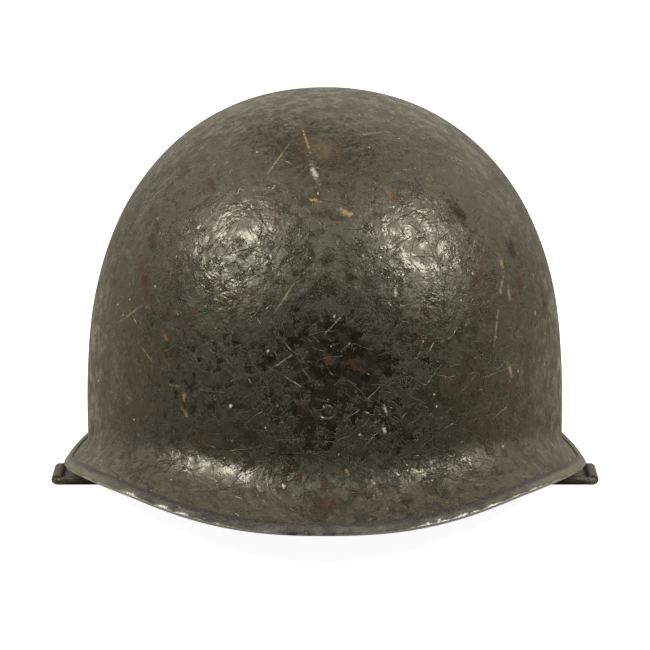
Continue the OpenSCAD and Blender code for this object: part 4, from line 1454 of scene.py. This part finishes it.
    def _over_bar(self) -> None:
        """Makes the part of the long run that climbs over the buckle's bar and travels with it."""
        bar_thick, bar_gap = 1.4, 0.25
        over = self.over
        hop = over + self.thick + 2 * bar_gap + bar_thick
        climb = [(25.0, over - 0.3), (26.4, over + 0.1), (31.4, hop), (36.6, hop)]
        climb += [(41.6, over + 0.1), (43.0, over - 0.3)]
        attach(self._ribbon(climb, 1.0, "strap_over_bar"), "buckle")

    def _short_run(self) -> None:
        """Makes the short run, sewn round the end loop's hinge bar."""
        (x, z), low = self.end_hinge, self.low
        radius = self.end_wire / 2 + 0.05 + self.thick / 2
        route = [(self.join_x + 0.6, low), *self.hump, (86, low), (80, low), (75, low)]
        turns = np.radians([0, 45, 90, 135, 180])
        route += [(x - radius * math.sin(t), z - radius * math.cos(t)) for t in turns]
        route += [(74.6, 2.75), (77.4, 1.65), (81, 1.4), (90.5, 1.38)]
        piece = self._ribbon(route, -1.0, "short_strap")
        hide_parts("right_strap")
        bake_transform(piece)
        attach(piece, "shell")
        seam = self._box_stitch("end_loop_stitching", -1.0, (79.5, 89.0), 2 * self.thick + 0.05)
        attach(seam, "liner")

    def _end_loop(self) -> None:
        """Makes the wire loop that the buckle's hook takes, which rests on the ground."""
        x, z = self.end_hinge
        tilt = math.asin((z - self.end_wire / 2) / self.end_reach)
        along = np.array([math.cos(tilt), 0.0, -math.sin(tilt)])
        start = np.array([-x, self.middle_y, z])
        shape = self._wire_loop(start, along, 22.2, self.end_reach, self.end_wire, 1.6)
        piece = to_object(shape, "end_wire_loop", self.finishes.brass)
        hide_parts("strap_end_loop")
        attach(piece, "end_loop")


# Liner with its cradle and headband


@dataclass
class Liner:
    """The laminated liner, its webbing cradle, the headband with its leather and the nape strap."""

    finishes: Finishes
    surface: LinerSurface = field(default_factory=LinerSurface)
    wall: float = 2.6
    wall_gap: float = 0.4
    near_gap: float = 0.05
    band_z: float = 34.0
    band_h: float = 24.0
    web: float = 1.0
    leather: float = 1.3
    tape: float = 1.2
    head_half_w: float = 77.0
    head_half_l: float = 97.0
    head_power: float = 2.1
    head_low: float = 18.0
    head_h: float = 36.0
    strap_w: float = 16.0
    strap_top_w: float = 11.0
    lace_z: float = 148.0
    lace_r: float = 17.0
    lace_d: float = 2.8

    def build(self) -> None:
        """Makes every piece of the liner."""
        self._shell()
        self._suspension()
        for number, angle in enumerate((30.0, 90.0, 150.0), 1):
            self._crown_strap(number, math.radians(angle))
        self._lace()
        self._headband()
        self._sweatband()
        self._nape()
        steel, brass = self.finishes.steel, self.finishes.brass
        for node, finish, bevel in (
            ("suspension_washers", steel, 0.12),
            ("liner_rivets", steel, 0.15),
            ("nape_rivets", steel, 0.15),
            ("headband_clips", steel, 0.08),
            ("headband_buckle", steel, 0.15),
            ("front_eyelet", brass, 0.1),
            ("left_chinstrap_stud", brass, 0.1),
            ("right_chinstrap_stud", brass, 0.1),
        ):
            polished_copy(node, f"{node}_finished", finish, bevel, "liner")

    def _ring(self, angle: Array, out: Array) -> Array:
        """Places over the ground on the oval of the headband, standing off by a distance.

        Args:
            angle: Angles round the liner.
            out: Distance outwards.

        Returns:
            Points as (x, y).
        """
        k = squircle(angle, self.head_power)
        x = (self.head_half_w + out) * k * np.cos(angle)
        y = self.surface.mid_y + (self.head_half_l + out) * k * np.sin(angle)
        return np.stack([x, y], axis=-1)

    def _cradle_piece(self, shape: Shape, name: str, node: str, flat: Spot) -> None:
        """Finishes a band of the cradle.

        Args:
            shape: Its mesh.
            name: Name of the piece.
            node: Node that it stands for.
            flat: Width and length it was cut to, in metres; not used.
        """
        piece = to_object(shape, name, self.finishes.cradle, 60.0)
        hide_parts(node)
        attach(piece, "liner")

    def _shell(self) -> None:
        """Makes the liner's wall, with the hole for the front eyelet."""

        def point(angle: Array, level: Array, inside: Array) -> Array:
            """Points of the wall."""
            return self.surface.off(angle, level, np.where(inside, -self.wall, 0.0))

        shape = dome_wall(240, (64, 10), point, (660.0, 460.0))
        hole, radius = Vector((0.0, -0.108, 0.074)), 0.0042
        cut = [f for f in shape.faces if (f.calc_center_median() - hole).length < radius]
        bmesh.ops.delete(shape, geom=cut, context="FACES")
        bmesh.ops.bridge_loops(shape, edges=[e for e in shape.edges if e.is_boundary])
        piece = to_object(shape, "liner_hull", self.finishes.laminate, 50.0)
        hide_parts("liner_shell")
        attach(piece, "liner")

    def _band_point(self, angle: Array, height: Array, out: Array) -> Array:
        """Points of the suspension band, at the wall by its rivets and by the headband between them.

        Args:
            angle: Angles round the liner.
            height: Heights above the ground.
            out: Distance outwards.

        Returns:
            The points.
        """
        level = self.surface.level_at(angle, height)
        at_wall = self.surface.off(angle, level, out - self.wall - self.wall_gap - self.web)
        near = self._ring(angle, out + self.leather + self.near_gap + self.tape + 0.9)
        from_rivet = np.abs((np.degrees(angle) + 360) % 60 - 30)
        held = 1 - smooth_step((from_rivet - 6) / 20)
        return with_height(near + (at_wall[..., :2] - near) * held[..., None], height)

    def _head_point(self, angle: Array, height: Array, out: Array) -> Array:
        """Points of the headband at a distance outwards."""
        return with_height(self._ring(angle, out + self.leather + self.near_gap), height)

    def _closed_band(
        self, point: Callable[[Array, Array, Array], Array], low: float, high: float, thick: float
    ) -> tuple[Shape, float]:
        """Makes a band that runs all round.

        Args:
            point: Gives points for angles, heights and distances outwards.
            low: Height of its lower edge.
            high: Height of its upper edge.
            thick: Its thickness.

        Returns:
            The shape and its length in metres.
        """
        section = strip_section(high - low, thick, 6)
        count, middle = len(section), (low + high) / 2

        def place(u: Array, v: Array) -> Array:
            """Points of the band for the two grid positions."""
            j = np.rint(v * count).astype(int) % count
            return point(u * TAU, middle + section[j, 0], thick / 2 + section[j, 1])

        turn = np.linspace(0, TAU, 241)
        length = path_length(point(turn, np.full_like(turn, middle), np.full_like(turn, thick / 2)))
        shape = mapped_grid(240, count, place, (length, 2 * (high - low)))
        bmesh.ops.recalc_face_normals(shape, faces=shape.faces[:])
        return shape, length * MM

    def _suspension(self) -> None:
        """Makes the band that carries the headband."""
        shape, length = self._closed_band(self._band_point, self.band_z, self.band_z + self.band_h, self.web)
        self._cradle_piece(shape, "cradle_band", "suspension_band", (self.band_h * MM, length))

    def _spoke(self, angle: float) -> Array:
        """Level direction from the middle to the wall's foot."""
        foot = self.surface.foot(np.array(angle))
        return unit(np.array([foot[0], foot[1] - self.surface.mid_y, 0.0]))

    def _half_strap(self, angle: float) -> tuple[Shape, float]:
        """Half of a crown strap: up the wall, over to the lace, round it and back on itself.

        Args:
            angle: Angle of its rivet round the liner.

        Returns:
            The shape and its length in metres.
        """
        around = np.array(angle)
        rivet_z = self.band_z + self.band_h / 2
        band_gap, lace_gap = 0.6, 0.25
        depth = self.wall + self.wall_gap + self.web + band_gap + self.web / 2

        def on_wall(height: float) -> Array:
            """Middle of the strap on the wall at a height."""
            level = self.surface.level_at(around, np.array(height))
            return with_height(self.surface.off(around, level, -depth)[:2], height)

        spoke = self._spoke(angle)
        rise = np.array([on_wall(z) for z in np.linspace(rivet_z - 8, rivet_z + 16, 5)])
        start = rise[-1]
        hub = np.array([0.0, self.surface.mid_y, self.lace_z]) + self.lace_r * spoke
        radius = self.lace_d / 2 + lace_gap + self.web / 2
        end = hub + [0.0, 0.0, radius]
        pull = start + (start - on_wall(rivet_z + 8)) * 4.2
        over = bezier(np.linspace(0, 1, 22)[1:, None], start, pull, end + 50 * spoke, end)
        turn = np.radians(np.array([50, 15, -20, -55, -90]))
        round_lace = [hub + radius * (-math.cos(a) * spoke + np.array([0, 0, math.sin(a)])) for a in turn]
        under = ((5, -1.3), (10, 0.3), (16, 1.0), (24, 1.3))
        back = [hub + spoke * d + np.array([0, 0, h]) for d, h in under]
        path = spline(np.vstack([rise, over, round_lace, back]), 1.6)
        normal = self.surface.normal(around, self.surface.level_at(around, np.array(rivet_z)))
        at_wall = unit(np.array([-normal[1], normal[0], 0.0]))
        at_top = np.array([-spoke[1], spoke[0], 0.0])
        share = smooth_step((path[:, 2] - start[2]) / (end[2] - start[2]))
        share = np.where(np.linalg.norm((path - hub)[:, :2], axis=1) < 45, 1.0, share)
        sides = unit(at_wall + (at_top - at_wall) * share[:, None])
        shape = sweep(path, sides, strip_section(self.strap_w, self.web, 6), 2 * self.strap_w)
        taper = self.strap_top_w / self.strap_w - 1
        self._narrow(shape, path, 1 + taper * smooth_step(share))
        return shape, path_length(path) * MM

    @staticmethod
    def _narrow(shape: Shape, path: Array, share: Array) -> None:
        """Draws a strap's rows in towards its middle.

        Args:
            shape: The strap.
            path: Points of its middle.
            share: Share of the width that is left at each of them.
        """
        for vert in shape.verts:
            point = np.array(vert.co) / MM
            i = int(np.argmin(((path - point) ** 2).sum(axis=1)))
            vert.co = Vector((path[i] + (point - path[i]) * share[i]) * MM)

    def _crown_strap(self, number: int, angle: float) -> None:
        """Makes one crown strap from its two halves.

        Args:
            number: Its number.
            angle: Angle of its first rivet round the liner.
        """
        shape, length = self._half_strap(angle)
        other, more = self._half_strap(angle + math.pi)
        join(shape, other)
        flat = (0.014, length + more)
        self._cradle_piece(shape, f"crown_tape_{number}", f"crown_strap_{number}", flat)

    def _lace(self) -> None:
        """Makes the lace through the crown straps' six ends, with a small knot at the front."""
        bend = 3.4
        centre = np.array([0.0, self.surface.mid_y, self.lace_z])
        spokes = [self._spoke(a) for a in np.radians([30, 90, 150, 210, 270, 330])]
        middles = [unit(a + b) for a, b in zip(spokes, spokes[1:] + spokes[:1])]
        corners = [centre + m * self.lace_r / float(m @ a) for m, a in zip(middles, spokes)]
        route = []
        for k, corner in enumerate(corners):
            p = corner + bend * unit(corners[k - 1] - corner)
            q = corner + bend * unit(corners[(k + 1) % 6] - corner)
            route += [(1 - t) ** 2 * p + 2 * t * (1 - t) * corner + t**2 * q for t in np.linspace(0, 1, 6)]
        up = np.array([0.0, 0.0, 1.0])
        shape = sweep(np.array(route), up, round_section(self.lace_d / 2, 14), 8.8, closed=True)
        join(shape, self._knot(corners[3] + (corners[4] - corners[3]) * 0.12))
        piece = to_object(shape, "drawn_lace", self.finishes.lace)
        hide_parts("crown_lace")
        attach(piece, "liner")

    def _knot(self, place: Array) -> Shape:
        """Small tight knot: a trefoil.

        Args:
            place: Its middle.

        Returns:
            The shape in metres.
        """
        t = np.linspace(0, TAU, 40, endpoint=False)
        curl = [np.sin(t) + 2 * np.sin(2 * t), np.cos(t) - 2 * np.cos(2 * t), -np.sin(3 * t)]
        path = place + np.stack(curl, axis=1) * np.array([1.15, 1.15, 1.2])
        section = round_section(self.lace_d / 2.6, 10)
        return sweep(path, np.array([0.3, 0.2, 0.93]), section, 8.0, closed=True)

    def _headband(self) -> None:
        """Makes the webbing ring that the leather is sewn on."""
        top = self.head_low + self.head_h
        shape, length = self._closed_band(self._head_point, self.head_low, top, self.tape)
        self._cradle_piece(shape, "headband_tape", "headband", (self.head_h * MM, length))

    def _sweatband(self) -> None:
        """Makes the leather facing, turned over the headband's lower edge and sewn down."""
        low, out = self.head_low - 0.1, self.leather + 0.1 + self.tape
        top = self.head_low + self.head_h + 1.5
        # Section from the turned-up edge outside, under the headband and up the inside, and back
        chain = [(out + 0.9, low + 7.1), (out + 0.95, low + 4), (out + 0.9, low + 0.3)]
        chain += [(out + 0.55, low - 0.6), (out / 2 + 0.3, low - 1.05), (0.8, low - 0.95)]
        chain += [(0.2, low - 0.3), (0.0, low + 1.2)]
        chain += [(0.0, z) for z in np.linspace(low + 5, top - 0.4, 8)] + [(0.35, top), (0.95, top)]
        chain += [(self.leather, z) for z in np.linspace(top - 0.4, low + 1.4, 8)]
        chain += [(self.leather + 0.1, low + 0.1), (out / 2, low - 0.08), (out, low)]
        chain += [(out + 0.02, low + 4), (out + 0.1, low + 7.1)]
        section = np.array(chain)

        def place(u: Array, v: Array) -> Array:
            """Points of the leather, slightly rippled on the inside.

            Args:
                u: Grid positions along the first direction.
                v: Grid positions along the second direction.

            Returns:
                The points.
            """
            angle = u * TAU
            away, height = section[np.rint(v * len(section)).astype(int) % len(section)].T
            ripple = 0.25 * np.sin(angle * 23 + height * 0.05) + 0.15 * np.sin(angle * 41 + 2)
            inside = (away < 0.5) & (height > low + 6)
            return with_height(self._ring(angle, away - np.where(inside, 0.25 + ripple * 0.6, 0.0)), height)

        length = path_length(self._ring(np.linspace(0, TAU, 241), 0.0))
        shape = mapped_grid(288, len(section), place, (length, 90.0))
        bmesh.ops.recalc_face_normals(shape, faces=shape.faces[:])
        piece = to_object(shape, "leather_sweatband", self.finishes.leather, 60.0)
        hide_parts("sweatband")
        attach(piece, "liner")
        self._sweatband_seams((top - 2.6, low + 5.2))

    def _sweatband_seams(self, heights: Spot) -> None:
        """Sews the leather round its whole inside.

        Args:
            heights: Heights of the two seams.
        """
        turn = np.linspace(0, TAU, 150, endpoint=False)
        ahead = self._ring(turn + 0.01, 0.0) - self._ring(turn - 0.01, 0.0)
        ways = unit(with_height(ahead, np.zeros(len(turn))))
        inward = np.stack([-ways[:, 1], ways[:, 0], ways[:, 2]], axis=1)
        places = [with_height(self._ring(turn, -0.2), np.full(len(turn), z)) for z in heights]
        shape = stitches(np.vstack(places), np.tile(ways, (2, 1)), np.tile(inward, (2, 1)), (2.5, 0.6, 0.5))
        seam = to_object(shape, "sweatband_stitching", self.finishes.thread)
        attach(seam, "liner")

    def _nape(self) -> None:
        """Makes the strap behind the nape, which touches the wall at its three rivets."""
        low, high = 13.5, 27.0
        rivet_z = (low + high) / 2 + 1.5
        angle = np.radians(np.linspace(43, 137, 95))
        rivets = np.array([48.0, 90.0, 132.0])
        away = np.abs(np.degrees(angle)[:, None] - rivets).min(axis=1)
        held = 1 - smooth_step((away - 5) / 16)
        rise = np.maximum(0, self.surface.foot_height(angle) - rivet_z + 1)
        near = self._ring(angle, self.leather + self.near_gap + self.tape + 5 + self.web / 2)
        rows = []
        for height in (low, high):
            level = np.maximum(0, self.surface.level_at(angle, height + rise))
            at_wall = self.surface.off(angle, level, -self.wall - self.wall_gap - self.web / 2)
            rows.append(with_height(near + (at_wall[:, :2] - near) * held[:, None], height + rise))
        path, sides = (rows[0] + rows[1]) / 2, unit(rows[1] - rows[0])
        shape = sweep(path, sides, strip_section(high - low, self.web, 6), 2 * (high - low))
        self._cradle_piece(shape, "nape_tape", "nape_strap", ((high - low) * MM, path_length(path) * MM))


# Studio


@dataclass
class Studio:
    """White table and surround, a dim room behind the camera, two soft boxes and the camera.

    All places and sizes here are in metres, but the lens is in millimetres.
    """

    target: tuple[float, float, float] = (0.0, 0.0, 0.0738)
    camera_place: tuple[float, float, float] = (0.0, -1.3523, 0.4361)
    lens: float = 167.3
    sensor: float = 36.0
    lamp_target: tuple[float, float, float] = (0.0, 0.0, 0.1)
    lamp_distance: float = 1.6
    lamp_size: Spot = (0.66, 0.76)
    lamp_power: float = 21.0
    table_drop: float = 0.0003
    table_reach: float = 4.0

    def build(self) -> None:
        """Makes the table, the surround, the lamps and the camera."""
        self._table()
        self._surround()
        self._soft_box("left_soft_box", -53.0, 43.0)
        self._soft_box("right_soft_box", 55.0, 42.0)
        self._camera()

    def _table(self) -> None:
        """Large white table that keeps the helmet's shadow; mirrored in front it is dim like the room."""
        shape = bmesh.new()
        bmesh.ops.create_grid(shape, x_segments=2, y_segments=2, size=self.table_reach)
        bmesh.ops.translate(shape, verts=shape.verts[:], vec=(0.0, 0.0, -self.table_drop))
        material = bpy.data.materials.new("white studio table")
        tree = emptied(material)
        where = add(tree, "TexCoord", take="Object")
        depth = add(tree, "SeparateXYZ", {0: where}, 1)
        near = add(tree, "MapRange", {0: depth, 1: 0.05, 2: -0.22})
        camera = add(tree, "LightPath", take="Is Camera Ray")
        mirrored = camera.node.outputs["Is Glossy Ray"]
        dim = add(tree, "Math", {0: near, 1: mirrored}, operation="MULTIPLY")
        colour = add(tree, "Mix", {0: mirrored, 6: linear("#e9e9e9"), 7: linear("#cfc8b2")}, **RGBA)
        colour = add(tree, "Mix", {0: dim, 6: colour, 7: linear("#2c2b24")}, **RGBA)
        seen = add(tree, "Math", {0: camera, 1: 0.94}, operation="MULTIPLY")
        glow = add(tree, "Emission", {"Strength": seen})
        matt = add(tree, "BsdfDiffuse", {"Color": colour})
        top = add(tree, "AddShader", {0: matt, 1: glow})
        # The camera looks through the table from underneath
        back = add(tree, "NewGeometry", take="Backfacing")
        below = add(tree, "Math", {0: back, 1: camera}, operation="MULTIPLY")
        board = add(tree, "MixShader", {0: below, 1: top, 2: add(tree, "BsdfTransparent")})
        add(tree, "OutputMaterial", {"Surface": board})
        mesh = bpy.data.meshes.new("studio_table")
        shape.to_mesh(mesh)
        shape.free()
        mesh.materials.append(material)
        link("studio_table", mesh)

    def _surround(self) -> None:
        """White for the camera; reflections see a white backdrop behind and a dim room in front."""
        world = bpy.data.worlds.new("studio")
        bpy.context.scene.world = world
        tree = emptied(world)
        way = add(tree, "TexCoord", take="Generated")
        depth = add(tree, "SeparateXYZ", {0: way}, 1)
        fade = {0: depth, 1: -0.7, 2: 0.6, 3: 0.02, 4: 1.0}
        room = add(tree, "MapRange", fade, interpolation_type="SMOOTHSTEP")
        above = add(tree, "MapRange", {0: depth.node.outputs[2], 1: 0.0, 2: 0.45, 3: 0.62, 4: 1.0})
        room = add(tree, "Math", {0: room, 1: above}, operation="MULTIPLY")
        camera = add(tree, "LightPath", take="Is Camera Ray")
        mirrored = camera.node.outputs["Is Glossy Ray"]
        strength = add(tree, "Mix", {0: mirrored, 2: 0.24, 3: room})
        strength = add(tree, "Math", {0: strength, 1: camera}, operation="MAXIMUM")
        warm = add(tree, "Mix", {0: mirrored, 6: linear("#ffffff"), 7: linear("#fff9e8")}, **RGBA)
        sky = add(tree, "Background", {"Color": warm, "Strength": strength})
        add(tree, "OutputWorld", {"Surface": sky})

    def _soft_box(self, name: str, azimuth: float, elevation: float) -> None:
        """Hangs a soft box that looks at the helmet.

        Args:
            name: Its name.
            azimuth: Degrees round from the camera's side, positive to the wearer's left.
            elevation: Degrees above the table.
        """
        lamp = bpy.data.lights.new(name, "AREA")
        lamp.shape = "RECTANGLE"
        lamp.size, lamp.size_y = self.lamp_size
        lamp.energy = self.lamp_power
        a, e = math.radians(azimuth), math.radians(elevation)
        way = Vector((math.sin(a) * math.cos(e), -math.cos(a) * math.cos(e), math.sin(e)))
        holder = link(name, lamp)
        holder.location = Vector(self.lamp_target) + way * self.lamp_distance
        holder.rotation_euler = (-way).to_track_quat("-Z", "Y").to_euler()

    def _camera(self) -> None:
        """Sets up the camera."""
        lens = bpy.data.cameras.new("photo_camera")
        lens.lens, lens.sensor_width = self.lens, self.sensor
        camera = link("photo_camera", lens)
        camera.location = self.camera_place
        way = Vector(self.target) - Vector(self.camera_place)
        camera.rotation_euler = way.to_track_quat("-Z", "Y").to_euler()
        bpy.context.scene.camera = camera


def main() -> None:
    """Builds every sub-assembly in order."""
    logging.basicConfig(level=logging.INFO)
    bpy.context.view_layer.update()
    Studio().build()
    finishes = make_finishes()
    for assembly in (SteelPot(finishes), ChinStrap(finishes), Liner(finishes)):
        assembly.build()
        log.info("%s built", type(assembly).__name__)
    bpy.context.scene.view_settings.view_transform = "Standard"


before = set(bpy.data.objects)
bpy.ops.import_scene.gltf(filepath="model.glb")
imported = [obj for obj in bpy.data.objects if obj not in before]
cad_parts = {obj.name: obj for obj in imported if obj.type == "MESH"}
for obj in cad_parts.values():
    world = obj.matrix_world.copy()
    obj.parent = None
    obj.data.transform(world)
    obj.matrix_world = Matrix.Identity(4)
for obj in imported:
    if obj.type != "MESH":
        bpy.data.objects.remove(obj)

if __name__ == "__main__":
    main()
